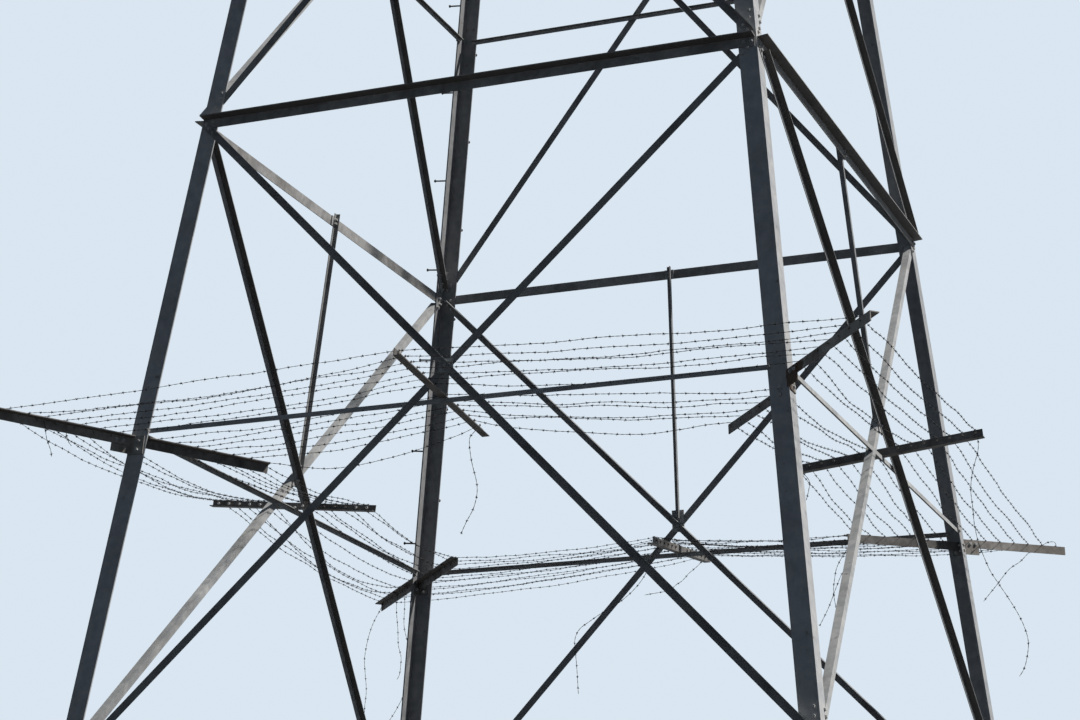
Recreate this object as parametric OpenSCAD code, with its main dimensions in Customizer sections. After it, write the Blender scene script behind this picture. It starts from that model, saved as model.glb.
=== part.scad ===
// Lattice transmission pylon with an anti-climb guard, millimetres, Z up, ground at z = 0.
// X runs along the crossarms. The front face is the one towards -Y.
// Faces are numbered 0 front, 1 right, 2 back, 3 left. Face i carries the corner on its own right end.

/* [Overall] */
// height of the middle of the heavy girt above the ground
girt_z = 9820; // [8000:10:12000]
// width of the tower across the heels at the girt
girt_w = 4870; // [4000:10:6000]
// sideways lean of each face for each unit of height
batter = 0.109; // [0.09:0.001:0.13]
// height of the crossed panel under the girt
panel_h = 5560; // [4600:10:6200]
// height of the crossed panel over the girt
panel2_h = 5260; // [4400:10:5900]
// width across the heels at the waist, under the crossarms
waist_w = 1830; // [1500:10:2200]
// lean of the cage above the waist
cage_batter = 0.03; // [0:0.005:0.05]
// height of the earth wire peak above the cage
peak_h = 2400; // [2000:50:3000]

/* [Legs] */
// flange width of the lower legs
leg_f = 152; // [120:1:184]
// thickness of the lower legs
leg_t = 13; // [10:0.5:16]
// flange width of the upper legs
leg2_f = 127; // [102:1:150]
// thickness of the upper legs
leg2_t = 11; // [8:0.5:14]
// flange width of the cage legs
leg3_f = 102; // [80:1:120]
// thickness of the cage legs
leg3_t = 10; // [8:0.5:12]
// drop of the leg splice under the panel joint over it
splice_drop = 1060; // [500:10:2200]

/* [Bracing] */
// flange width of the crossed diagonals
diag_f = 64; // [50:1:80]
// thickness of the crossed diagonals
diag_t = 6; // [5:0.5:10]
// flange width of the girt angles
girt_f = 89; // [76:1:102]
// thickness of the girt angles
girt_t = 8; // [6:0.5:10]
// flange width of the light horizontals
light_f = 40; // [35:1:51]
// thickness of the light horizontals
light_t = 5; // [4:0.5:6]
// drop from the girt to the light horizontals under it
light_drop = 2734; // [2500:1:2800]
// rise from the girt to the light horizontals over it
light_rise = 2654; // [2300:1:2700]
// flange width of the cage bracing
lace_f = 51; // [44:1:64]

/* [Guard] */
// flange width of the guard arms at mid face
arm_f = 64; // [50:1:76]
// reach of the arms at mid face to each side
guard_reach = 830; // [700:10:1000]
// flange width of the guard arms at the corners
corner_f = 76; // [64:1:102]
// rise of the corner arms of legs C, D, B and A outward
arm_rise = [0.07, 0.04, -0.04, 0.085]; // [-0.05:0.005:0.12]
// reach of the outer corner arms from the heels, in the same order
reach_out = [1197, 1090, 1110, 1174]; // [1070:1:1250]
// reach of the inner corner arms from the heels
reach_in = [965, 1215, 1085, 1151]; // [900:1:1250]
// drop of the outer corner arms at the heels under the light horizontals
drop_out = [36, 50, 36, 44]; // [30:1:60]
// drop of the inner corner arms at the heels
drop_in = [143, 81, 86, 36]; // [30:1:160]
// outward shift of the strands on the corner arms
strand_shift = [0, -45, 0, 0]; // [-60:1:30]
// number of barbed strands on each side of a face
strand_n = 7; // [4:1:8]
// distance from strand to strand
strand_gap = 107; // [80:1:120]
// distance of the first strand from the face
strand_first = 110; // [100:1:130]
// diameter of a strand
strand_d = 5; // [4:0.5:6]
// parted strands: face, side (1 right, -1 left) and place counted outward, or inward with a minus
parted = [[0, 1, -7], [1, -1, -7], [1, 1, 7]]; // [-8:1:8]

/* [Crossarms] */
// reach of the bottom, middle and top crossarms from the centre line
arm_reach = [3600, 4500, 3300]; // [2800:50:5000]
// distance from crossarm to crossarm
arm_pitch = 3600; // [3200:50:4000]
// height of a crossarm at the cage
arm_h = 1200; // [900:50:1500]
// flange width of the crossarm chords
chord_f = 76; // [64:1:89]
// diameter of the holes in the tip plates
pin_d = 24; // [18:1:30]

/* [Feet] */
// side of a base plate
plate_w = 400; // [350:10:450]
// thickness of a base plate
plate_t = 25; // [20:1:32]
// distance between anchor holes
anchor_gap = 300; // [260:5:340]
// diameter of an anchor hole
anchor_d = 33; // [26:1:36]

/* [Insulators] */
// number of discs in a string
disc_n = 8; // [6:1:9]
// distance from disc to disc
disc_pitch = 146; // [127:1:170]
// diameter of a disc
disc_d = 254; // [220:2:280]

/* [Hidden] */
tilt = atan(batter);
tilt_c = atan(cage_batter);
half0 = girt_w / 2 + batter * girt_z;
z_node = girt_z + 20;
z_foot = plate_t + 330;
z_x = z_node - panel_h;
z_2 = z_node + panel2_h;
z_waist = girt_z + (girt_w - waist_w) / 2 / batter;
z_3 = z_2 + (z_waist - z_2) * 0.54;
half0_c = waist_w / 2 + cage_batter * z_waist;
z_arm = [z_waist, z_waist + arm_pitch, z_waist + 2 * arm_pitch];
z_cage = z_arm[2] + arm_h + 90;
chord_up = 14;
z_top = z_cage + peak_h;
z_guard = girt_z - light_drop;
z_light = girt_z + light_rise;
z_cap = z_top - 140;
// lean of the peak, and its half width carried down to the ground
peak_b = (half_c(z_cage) - 90) / (peak_h - 140);
peak_0 = half_c(z_cage) + peak_b * z_cage;
splice_z = z_2 - splice_drop;
h_corner = half(z_guard - 25);
// place of the upright flange of the arms at mid face
mid_u = -arm_f / 2 + diag_t / 2;
// height of a strand's middle over the arms, with a clearance of 0.4
strand_lift = strand_d / 2 * cos(30) + 0.4;
// top of the guard arms at mid face, measured up the slope
v_mid = vof(z_guard) + light_f / 2 + arm_f;
big = 20000;

function half(z) = half0 - batter * z;
function half_c(z) = half0_c - cage_batter * z;
function vof(z) = z / cos(tilt);
function vof_c(z) = z / cos(tilt_c);

// moves a drawing of face i, seen from outside with u right, v up the slope and w outward, to its place
module face(i) {
    rotate([0, 0, 90 * i])
        translate([0, -half0, 0])
            rotate([90 - tilt, 0, 0])
                children();
}

module face_c(i) {
    rotate([0, 0, 90 * i])
        translate([0, -half0_c, 0])
            rotate([90 - tilt_c, 0, 0])
                children();
}

// L section with its heel at the origin, flanges along +x and +y
module ell(f, t) {
    polygon([[0, 0], [f, 0], [f, t], [t, t], [t, f], [0, f]]);
}

// angle bar in a face drawing: flat flange centred on p to q from w to w + t, the other flange on one edge
module flat_bar(p, q, f, t, w, out = true, up = true) {
    d = q - p;
    translate([p[0], p[1], w])
        rotate([0, 0, atan2(d[1], d[0])])
            translate([0, (up ? f / 2 : -f / 2), (out ? 0 : t)])
                mirror([0, up ? 1 : 0, 0])
                    mirror([0, 0, out ? 0 : 1])
                        rotate([90, 0, 90])
                            linear_extrude(norm(d))
                                ell(f, t);
}

// One flange of a leg: a strip of the face along its left or right edge, from za to zb.
// The left one starts inside the thickness of the flange that it meets at the heel.
module strip(za, zb, f, t, side, h0, b) {
    c = cos(atan(b));
    ha = h0 - b * za;
    hb = h0 - b * zb;
    e = t * 0.4;
    translate([0, 0, -t])
        linear_extrude(t)
            polygon(side > 0
                ? [[ha - f, za / c], [ha, za / c], [hb, zb / c], [hb - f, zb / c]]
                : [[-ha + e, za / c], [-ha + f, za / c], [-hb + f, zb / c], [-hb + e, zb / c]]);
}

// leg at the right end of face i, cut level at za and zb
module leg(i, za, zb, f, t) {
    intersection() {
        union() {
            face(i) strip(za - 60, zb + 60, f, t, 1, half0, batter);
            face(i + 1) strip(za - 60, zb + 60, f, t, -1, half0, batter);
        }
        translate([-big / 2, -big / 2, za]) cube([big, big, zb - za]);
    }
}

module cage_leg(i, za, zb, f, t) {
    intersection() {
        union() {
            face_c(i) strip(za - 60, zb + 60, f, t, 1, half0_c, cage_batter);
            face_c(i + 1) strip(za - 60, zb + 60, f, t, -1, half0_c, cage_batter);
        }
        translate([-big / 2, -big / 2, za]) cube([big, big, zb - za]);
    }
}

// Crossed diagonals of a panel, aimed at the leg heels at za and zb.
// The one falling to the right lies outside the legs, the other inside.
// Over the height cut the outer one is trimmed, to clear a girt.
module cross(za, zb, f, t, t_leg, cut = 0) {
    inner = inner_line(za, zb, f, t_leg);
    difference() {
        flat_bar(flip_u(inner[1]), flip_u(inner[0]), f, t, 0);
        if (cut > 0)
            translate([-half(zb), vof(cut), -1])
                cube([900, 900, f + 2]);
    }
    flat_bar(inner[0], inner[1], f, t, -t_leg - t, false);
}

function flip_u(p) = [-p[0], p[1]];

// slope of the diagonals of a panel
function slope_of(za, zb) = (vof(zb) - vof(za)) / (half(za) + half(zb));

// ends of the inner diagonal of a panel, held clear of the flange of the leg that it doesn't lie on
function inner_line(za, zb, f = diag_f, t_leg = leg_t) =
    let (k = slope_of(za, zb), e = max(50, t_leg + 14 + f / 2 * k / norm([1, k])))
    [[-half(za) + e, vof(za) + e * k], [half(zb) - e, vof(zb) - e * k]];

// crossing height of the diagonals of a panel
function cross_z(za, zb) = za + (zb - za) * half(za) / (half(za) + half(zb));

module feet() {
    color("silver")
        for (i = [0:3])
            rotate([0, 0, 90 * i]) foot();
}

// base plate under the corner at +x, -y, with two upstands outside the leg
module foot() {
    c = half(plate_t) - leg_f * 0.3;
    difference() {
        union() {
            translate([c - plate_w / 2, -c - plate_w / 2, 0]) cube([plate_w, plate_w, plate_t]);
            intersection() {
                union() {
                    face(0)
                        translate([half(0) - leg_f, vof(plate_t) - 40, 0])
                            cube([leg_f - 35, 300, 12]);
                    face(1)
                        translate([-half(0) + 35, vof(plate_t) - 40, 0])
                            cube([leg_f - 35, 300, 12]);
                }
                translate([0, -big, 5]) cube([big, big, 1000]);
            }
        }
        for (sx = [-1, 1])
            for (sy = [-1, 1])
                translate([c + sx * anchor_gap / 2, -c + sy * anchor_gap / 2, -1])
                    cylinder(h = plate_t + 2, d = anchor_d, $fn = 48);
    }
}

module leg_c() {
    color("slategray") leg(0, plate_t, splice_z, leg_f, leg_t);
}

module leg_d() {
    color("slategray") leg(1, plate_t, splice_z, leg_f, leg_t);
}

module leg_b() {
    color("slategray") leg(2, plate_t, splice_z, leg_f, leg_t);
}

module leg_a() {
    color("slategray") leg(3, plate_t, splice_z, leg_f, leg_t);
}

module upper_legs() {
    color("slategray")
        for (i = [0:3])
            leg(i, splice_z, z_waist, leg2_f, leg2_t);
}

module cage_legs() {
    color("slategray")
        for (i = [0:3])
            cage_leg(i, z_waist, z_cage, leg3_f, leg3_t);
}

// two plates outside each leg joint, one on each flange
module leg_splices() {
    color("silver")
        for (i = [0:3]) {
            face(i)
                splice(1);
            face(i)
                splice(-1);
        }
}

module splice(side) {
    k = batter * cos(tilt);
    h = half(splice_z);
    mirror([side > 0 ? 0 : 1, 0, 0])
        translate([h, vof(splice_z), 0])
            linear_extrude(10)
                polygon([
                    [-leg2_f + k * 260, -260], [-15 + k * 260, -260],
                    [-15 - k * 260, 260], [-leg2_f - k * 260, 260]
                ]);
}

module lower_bracing() {
    cross(z_foot, z_x, diag_f, diag_t, leg_t);
    cross(z_x, z_node, diag_f, diag_t, leg_t, girt_z - girt_f / 2 - 2);
    cross(z_node, z_2, diag_f, diag_t, leg_t);
}

module front_bracing() {
    color("lightsteelblue") face(0) lower_bracing();
}

module right_bracing() {
    color("lightsteelblue") face(1) lower_bracing();
}

module back_bracing() {
    color("lightsteelblue") face(2) lower_bracing();
}

module left_bracing() {
    color("lightsteelblue") face(3) lower_bracing();
}

module upper_bracing() {
    cross(z_2, z_3, diag_f - 7, diag_t, leg2_t);
    cross(z_3, z_waist, diag_f - 7, diag_t, leg2_t, z_waist - girt_f - 4);
}

module front_upper_bracing() {
    color("lightsteelblue") face(0) upper_bracing();
}

module right_upper_bracing() {
    color("lightsteelblue") face(1) upper_bracing();
}

module back_upper_bracing() {
    color("lightsteelblue") face(2) upper_bracing();
}

module left_upper_bracing() {
    color("lightsteelblue") face(3) upper_bracing();
}

// heavy horizontal outside the legs: flat flange on the legs, the other on top pointing outward
module girt_bar(z, f, t) {
    l = half(z) - 14;
    flat_bar([-l, vof(z)], [l, vof(z)], f, t, 0);
}

module girt() {
    color("dimgray")
        for (i = [0:3])
            face(i) girt_bar(girt_z, girt_f, girt_t);
}

module waist_ring() {
    color("dimgray")
        for (i = [0:3])
            face(i) girt_bar(z_waist - girt_f / 2, girt_f, girt_t);
}

// light horizontal inside the legs, cut where the inner diagonal of its panel passes
module light_bar(z, za, zb) {
    l = half(z) - leg_f + 42;
    q = inner_line(za, zb);
    d = q[1] - q[0];
    difference() {
        flat_bar([-l, vof(z)], [l, vof(z)], light_f, light_t, -leg_t - light_t, false);
        translate([q[0][0], q[0][1], -leg_t - 100])
            rotate([0, 0, atan2(d[1], d[0])])
                translate([0, -diag_f / 2 - 1, 0])
                    cube([norm(d), diag_f + 2, 120]);
    }
}

module guard_horizontals() {
    color("dimgray")
        for (i = [0:3])
            face(i) light_bar(z_guard, z_x, z_node);
}

module upper_horizontals() {
    color("dimgray")
        for (i = [0:3])
            face(i) light_bar(z_light, z_node, z_2);
}

// plate between the two diagonals where they cross
module crossing(za, zb, top = 0, t_leg = leg_t) {
    z = cross_z(za, zb);
    translate([-60, vof(z) - 60, -t_leg])
        cube([120, 120 + top, t_leg]);
}

module crossing_plates() {
    color("silver")
        for (i = [0:3])
            face(i) {
                crossing(z_foot, z_x);
                crossing(z_x, z_node, i > 0 ? 90 : 0);
                crossing(z_node, z_2);
                crossing(z_2, z_3, 0, leg2_t);
                crossing(z_3, z_waist, 0, leg2_t);
                if (i > 0)
                    translate([-45, vof(girt_z) - girt_f / 2, -leg_t])
                        cube([90, girt_f, leg_t]);
            }
}

// vertical from the girt to the crossing, on three faces only: the front one is missing
module hangers() {
    k = slope_of(z_x, z_node);
    v = vof(cross_z(z_x, z_node)) + diag_f / 2 * norm([1, k]) + light_f / 2 * k + 2;
    color("lightsteelblue")
        for (i = [1:3])
            face(i)
                flat_bar([0, v], [0, vof(girt_z) + 75], light_f, light_t, -leg_t - light_t, false);
}

// arms at mid face, lying on the light horizontals
module guard_arms_mid() {
    color("dimgray")
        for (i = [0:3])
            face(i)
                translate([-arm_f / 2, v_mid - arm_f, -guard_reach])
                    linear_extrude(2 * guard_reach)
                        ell(arm_f, diag_t);
}

// drawing with x outward over the corner at +x, -y, along the top line of an arm that meets the heel at z
module corner(z, rise) {
    translate([half(z), -half(z), z])
        rotate([0, 0, -45])
            rotate([0, -atan(rise), 0])
                children();
}

// corner arm: one flange hangs under its top line, the other points away from the face on its left
module arm_bar(xa, xb) {
    translate([xa, -4, 0])
        rotate([90, 0, 90])
            linear_extrude(xb - xa)
                mirror([0, 1])
                    ell(corner_f, 8);
}

// outer arm on a bent cleat: one wing of it lies on the leg, the other along the arm
module outer_arm(z, rise, reach) {
    difference() {
        union() {
            face(1)
                translate([-half(z) - 12, vof(z) - corner_f - 80, 0])
                    cube([140, corner_f + 80, 8]);
            corner(z, rise) {
                arm_bar(-20, reach);
                translate([-20, -12, -corner_f - 64]) cube([170, 9, corner_f + 56]);
            }
        }
        intersection() {
            face(0) translate([-big / 2, 0, -big]) cube([big, big, big]);
            face(1) translate([-big / 2, 0, -big]) cube([big, big, big]);
        }
    }
}

// bent cleat in the corner of a leg, with the inner arm standing in it
module inner_arm(z, rise, reach) {
    difference() {
        union() {
            face(0)
                translate([half(z) - leg_t - 90, vof(z) - corner_f - 40, -leg_t - 8])
                    cube([110, corner_f + 40, 8]);
            face(1)
                translate([-half(z) + leg_t - 20, vof(z) - corner_f - 40, -leg_t - 8])
                    cube([110, corner_f + 40, 8]);
            corner(z, rise) arm_bar(-reach, 0);
        }
        face(0) translate([-big / 2, 0, -leg_t]) cube([big, big, 500]);
        face(1) translate([-big / 2, 0, -leg_t]) cube([big, big, 500]);
    }
}

module guard_arms_outer() {
    color("dimgray")
        for (i = [0:3])
            rotate([0, 0, 90 * i]) outer_arm(z_guard - drop_out[i], arm_rise[i], reach_out[i]);
}

module guard_arms_inner() {
    color("dimgray")
        for (i = [0:3])
            rotate([0, 0, 90 * i]) inner_arm(z_guard - drop_in[i], arm_rise[i], reach_in[i]);
}

// point on the right, or on the left, where a strand of face i drawn at the front lies on its corner arm
function on_corner(i, side, a) =
    let (
        k = side > 0 ? i : (i + 3) % 4,
        z = z_guard - (a > 0 ? drop_out[k] : drop_in[k]),
        b = a + strand_shift[k],
        h = half(z) + b
    )
    [side * h, -h, z + arm_rise[k] * b * sqrt(2) + strand_lift];

// point where it lies on the upright flange of the arm at mid face
function on_middle(a) =
    let (w = (h_corner + a - half0 + v_mid * sin(tilt)) / cos(tilt))
    [mid_u, -h_corner - a, v_mid * cos(tilt) + w * sin(tilt) + strand_lift];

function is_parted(i, side, place) = len([for (p = parted) if (p == [i, side, place]) p]) > 0;

// one strand of face i, drawn at the front, over its three arms or the two that it still reaches
module strand(i, place) {
    a = sign(place) * (strand_first + (abs(place) - 1) * strand_gap);
    middle = on_middle(a);
    left = along(on_corner(i, -1, a), middle, 3.5);
    right = along(on_corner(i, 1, a), middle, 3.5);
    if (is_parted(i, 1, place))
        wire([left, along(middle, left, -6)]);
    else if (is_parted(i, -1, place))
        wire([along(middle, right, -6), right]);
    else
        wire([left, middle, right]);
}

// six-sided bar through points that follow each other along x
module wire(path) {
    n = len(path);
    polyhedron(
        [for (p = path) for (j = [0:5]) p + strand_d / 2 * [0, cos(60 * j), sin(60 * j)]],
        concat(
            [[for (j = [0:5]) j]],
            [for (s = [0:n - 2]) for (j = [0:5])
                [6 * s + j, 6 * s + 6 + j, 6 * s + 6 + (j + 1) % 6, 6 * s + (j + 1) % 6]],
            [[for (j = [5:-1:0]) 6 * n - 6 + j]]
        )
    );
}

module strands(i) {
    color("gray")
        rotate([0, 0, 90 * i])
            for (side = [-1, 1])
                for (n = [1:strand_n])
                    strand(i, side * n);
}

module front_strands() {
    strands(0);
}

module right_strands() {
    strands(1);
}

module back_strands() {
    strands(2);
}

module left_strands() {
    strands(3);
}

// crossed pair on a face of the cage
module cage_cross(za, zb) {
    ha = half_c(za);
    hb = half_c(zb);
    k = (vof_c(zb) - vof_c(za)) / (ha + hb);
    flat_bar([-hb + 45, vof_c(zb) - 45 * k], [ha - 45, vof_c(za) + 45 * k], lace_f, 5, 0);
    flat_bar([-ha + 45, vof_c(za) + 45 * k], [hb - 45, vof_c(zb) - 45 * k], lace_f, 5, -leg3_t - 5, false);
}

// heights of the cage rings: bottom and top of each crossarm
function ring_z(n) = z_arm[floor(n / 2)] + (n % 2) * arm_h;

module cage_lacing(i) {
    color("lightsteelblue")
        face_c(i)
            for (n = [0:4])
                cage_cross(ring_z(n) + 110, ring_z(n + 1) - 30);
}

module cage_front_lacing() {
    cage_lacing(0);
}

module cage_right_lacing() {
    cage_lacing(1);
}

module cage_back_lacing() {
    cage_lacing(2);
}

module cage_left_lacing() {
    cage_lacing(3);
}

// level bars round the cage: outside the legs on the front and back, inside them behind the crossarms
module cage_rings() {
    color("dimgray")
        for (n = [0:5])
            ring(n);
}

module ring(n) {
    z = ring_z(n) + 30;
    for (i = [0:3]) {
        side = i % 2;
        l = half_c(z) - (side ? 60 : 4);
        face_c(i)
            flat_bar([-l, vof_c(z)], [l, vof_c(z)], lace_f, 5, side ? -leg3_t - 5 : 0, side == 0);
    }
}

// level crossed bars in the cage at the foot of each crossarm, trimmed on the rings that carry them
module plan_bracing() {
    color("lightsteelblue")
        for (n = [0, 2, 4])
            difference() {
                plan_pair(n);
                ring(n);
            }
}

// one bar lies on the inner flanges of the side rings, the other under them
module plan_pair(n) {
    z = ring_z(n) + 30;
    h = half_c(z);
    l = norm([h - 45, h - 130]);
    a = atan2(h - 130, h - 45);
    over = z + lace_f / 2 * cos(tilt_c) - (leg3_t + lace_f) * sin(tilt_c);
    under = z + (lace_f / 2 - 5) * cos(tilt_c) - (leg3_t + 5) * sin(tilt_c);
    for (side = [0, 1])
        rotate([0, 0, side ? -a : a])
            translate([-l, 0, side ? under : over])
                rotate([90, 0, 90])
                    linear_extrude(2 * l)
                        mirror([0, side])
                            ell(lace_f, 5);
}

// angle bar between two points, heel up or down
module bar3(p, q, f, t, roll = 0) {
    d = q - p;
    translate(p)
        rotate([0, -atan2(d[2], norm([d[0], d[1]])), atan2(d[1], d[0])])
            rotate([roll, 0, 0])
                rotate([90, 0, 90])
                    linear_extrude(norm(d))
                        ell(f, t);
}

function along(p, q, a) = p + (q - p) / norm(q - p) * a;

// heel lines of the level chord and of the falling tie in the front half of right crossarm n
function chord_line(n) =
    let (h = half_c(z_arm[n]), z = z_arm[n] + chord_up)
    [[h, -h + 4, z], [arm_reach[n], -6, z]];

function tie_line(n) =
    let (z = z_arm[n] + arm_h, h = half_c(z))
    [[h, -h + 4, z], [arm_reach[n], -6, z_arm[n] + chord_up + chord_f + 20]];

// front half of right crossarm n: chord and tie, trimmed on the cage and on the tip plate
module arm_side(n) {
    za = z_arm[n];
    reach = arm_reach[n];
    chord = chord_line(n);
    tie = tie_line(n);
    difference() {
        union() {
            bar3(along(chord[0], chord[1], -160), along(chord[1], chord[0], -60), chord_f, 6);
            bar3(along(tie[0], tie[1], -160), along(tie[1], tie[0], -60), chord_f - 12, 6);
        }
        face_c(1) translate([-big / 2, 0, -big]) cube([big, 3 * big, big]);
        translate([-big / 2, -6, za - 500]) cube([big, big, 3000]);
        translate([reach, -big / 2, za - 500]) cube([big, big, 3000]);
    }
}

module crossarms(flip) {
    color("slategray")
        mirror([flip, 0, 0])
            for (n = [0:2])
                for (side = [0, 1])
                    mirror([0, side, 0])
                        arm_side(n);
}

module crossarms_right() {
    crossarms(0);
}

module crossarms_left() {
    crossarms(1);
}

// posts and diagonals outside the sloping sides of each crossarm
module crossarm_lacing() {
    color("lightsteelblue")
        for (flip = [0, 1])
            mirror([flip, 0, 0])
                for (n = [0:2])
                    for (side = [0, 1])
                        mirror([0, side, 0])
                            difference() {
                                side_bars(n);
                                arm_side(n);
                            }
}

// the bars of one side, each from a share of the chord to a share of the tie, sunk a little to be trimmed
module side_bars(n) {
    chord = chord_line(n);
    tie = tie_line(n);
    for (at = [[0.32, 0.32, 0], [0.62, 0.62, 0], [0.05, 0.285, 90], [0.355, 0.585, 90]]) {
        p = chord[0] + (chord[1] - chord[0]) * at[0] + [0, 2, 10];
        q = tie[0] + (tie[1] - tie[0]) * at[1] + [0, 2, 44];
        bar3(p, q, 44, 7, at[2]);
    }
}

// level struts between the two chords of each crossarm
module crossarm_struts() {
    color("lightsteelblue")
        for (flip = [0, 1])
            mirror([flip, 0, 0])
                for (n = [0:2])
                    for (at = [0.3, 0.6])
                        strut(n, at);
}

module strut(n, at) {
    ha = half_c(z_arm[n]);
    x = ha + (arm_reach[n] - ha) * at;
    slope = (ha - 10) / (arm_reach[n] - ha);
    l = (arm_reach[n] - x - lace_f) * slope - 2;
    translate([x, -l, z_arm[n] + chord_up + 6])
        rotate([90, 0, 180])
            linear_extrude(2 * l)
                mirror([1, 0])
                    ell(lace_f, 5);
}

// plate at the end of each crossarm, with the hole that carries the string
module tip_plates() {
    color("silver")
        for (flip = [0, 1])
            mirror([flip, 0, 0])
                for (n = [0:2])
                    translate([arm_reach[n] - 60, 6, z_arm[n] - 60])
                        rotate([90, 0, 0])
                            difference() {
                                linear_extrude(12)
                                    polygon([
                                        [-360, 20], [20, -60], [60, -60],
                                        [60, 200], [-60, 240], [-360, 150]
                                    ]);
                                translate([26, -24, -1]) cylinder(h = 14, d = pin_d, $fn = 48);
                            }
}

// string of discs under a crossarm, from the clevis on the tip plate to the conductor clamp
module string_of(n) {
    x = arm_reach[n] - 34;
    z = z_arm[n] - 84;
    l = disc_n * disc_pitch;
    translate([x, 0, z]) {
        rotate([90, 0, 0]) cylinder(h = 50, d = pin_d - 1, center = true, $fn = 48);
        for (side = [-1, 1])
            translate([-22, side * 13 - 5, -90]) cube([44, 10, 112]);
        translate([-22, -18, -110]) cube([44, 36, 30]);
        translate([0, 0, -150 - l]) cylinder(h = 50 + l, d = 26, $fn = 48);
        for (k = [0:disc_n - 1])
            translate([0, 0, -150 - (k + 1) * disc_pitch]) disc();
        translate([0, 0, -l - 185])
            clamp();
    }
}

// cap and shed of one disc
module disc() {
    rotate_extrude($fn = 96)
        polygon([
            [0, 20], [30, 20], [disc_d * 0.46, 30], [disc_d / 2, 34], [disc_d / 2, 44],
            [disc_d * 0.4, 62], [50, 82], [46, 130], [30, 138], [0, 138]
        ]);
}

// clamp with the groove that the conductor lies in, drawn as a through hole
module clamp() {
    difference() {
        translate([-26, -130, -30]) cube([52, 260, 70]);
        rotate([90, 0, 0]) cylinder(h = 300, d = 28, center = true, $fn = 48);
    }
}

module insulators_right() {
    color("sienna")
        for (n = [0:2]) string_of(n);
}

module insulators_left() {
    color("sienna")
        mirror([1, 0, 0])
            for (n = [0:2]) string_of(n);
}

// four legs leaning together over the cage
module peak() {
    color("slategray")
        for (i = [0:3])
            intersection() {
                union() {
                    peak_face(i) strip(z_cage - 60, z_cap + 60, 64, 6, 1, peak_0, peak_b);
                    peak_face(i + 1) strip(z_cage - 60, z_cap + 60, 64, 6, -1, peak_0, peak_b);
                }
                translate([-big / 2, -big / 2, z_cage]) cube([big, big, z_cap - z_cage]);
            }
}

module peak_face(i) {
    rotate([0, 0, 90 * i])
        translate([0, -peak_0, 0])
            rotate([90 - atan(peak_b), 0, 0])
                children();
}

// crossed pair and a level bar on each face of the peak
module peak_lacing() {
    za = z_cage + 60;
    zb = z_cage + peak_h * 0.55;
    c = cos(atan(peak_b));
    ha = peak_0 - peak_b * za - 45;
    hb = peak_0 - peak_b * zb - 40;
    zc = zb + 90;
    hc = peak_0 - peak_b * zc - 12;
    color("lightsteelblue")
        for (i = [0:3])
            peak_face(i) {
                flat_bar([-hb, zb / c], [ha, za / c + 40], 44, 5, 0);
                flat_bar([-ha, za / c + 40], [hb, zb / c], 44, 5, -11, false);
                flat_bar([-hc, zc / c], [hc, zc / c], 44, 5, 0);
            }
}

// cap over the peak with the lug for the earth wire
module peak_plate() {
    color("silver") {
        translate([-100, -100, z_cap]) cube([200, 200, 16]);
        translate([0, 6, z_cap + 10])
            rotate([90, 0, 0])
                difference() {
                    linear_extrude(12)
                        polygon([[-70, 0], [70, 0], [40, 130], [-40, 130]]);
                    translate([0, 85, -1]) cylinder(h = 14, d = pin_d, $fn = 48);
                }
    }
}

feet();
leg_a();
leg_b();
leg_c();
leg_d();
upper_legs();
cage_legs();
leg_splices();
front_bracing();
right_bracing();
back_bracing();
left_bracing();
front_upper_bracing();
right_upper_bracing();
back_upper_bracing();
left_upper_bracing();
girt();
guard_horizontals();
upper_horizontals();
waist_ring();
hangers();
crossing_plates();
guard_arms_mid();
guard_arms_outer();
guard_arms_inner();
front_strands();
right_strands();
back_strands();
left_strands();
cage_front_lacing();
cage_right_lacing();
cage_back_lacing();
cage_left_lacing();
cage_rings();
plan_bracing();
crossarms_right();
crossarms_left();
crossarm_lacing();
crossarm_struts();
tip_plates();
peak();
peak_lacing();
peak_plate();
insulators_right();
insulators_left();
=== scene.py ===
"""Looks of a lattice transmission pylon with a barbed guard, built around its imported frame.

Metres, Z up, ground at z = 0, X along the crossarms, the front face towards -Y.
Faces are numbered 0 front, 1 right, 2 back, 3 left, and leg i stands at the right end of face i:
legs C, D, B and A. In a face's drawing u runs right seen from outside, v up the slope and w out.
"""

import logging
import math
from collections.abc import Iterator
from dataclasses import dataclass, field
from enum import Enum

import bmesh
import bpy
from bmesh.types import BMesh
from bpy.types import Material, Mesh, Node, NodeSocket, NodeTree
from mathutils import Matrix, Vector, noise


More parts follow.
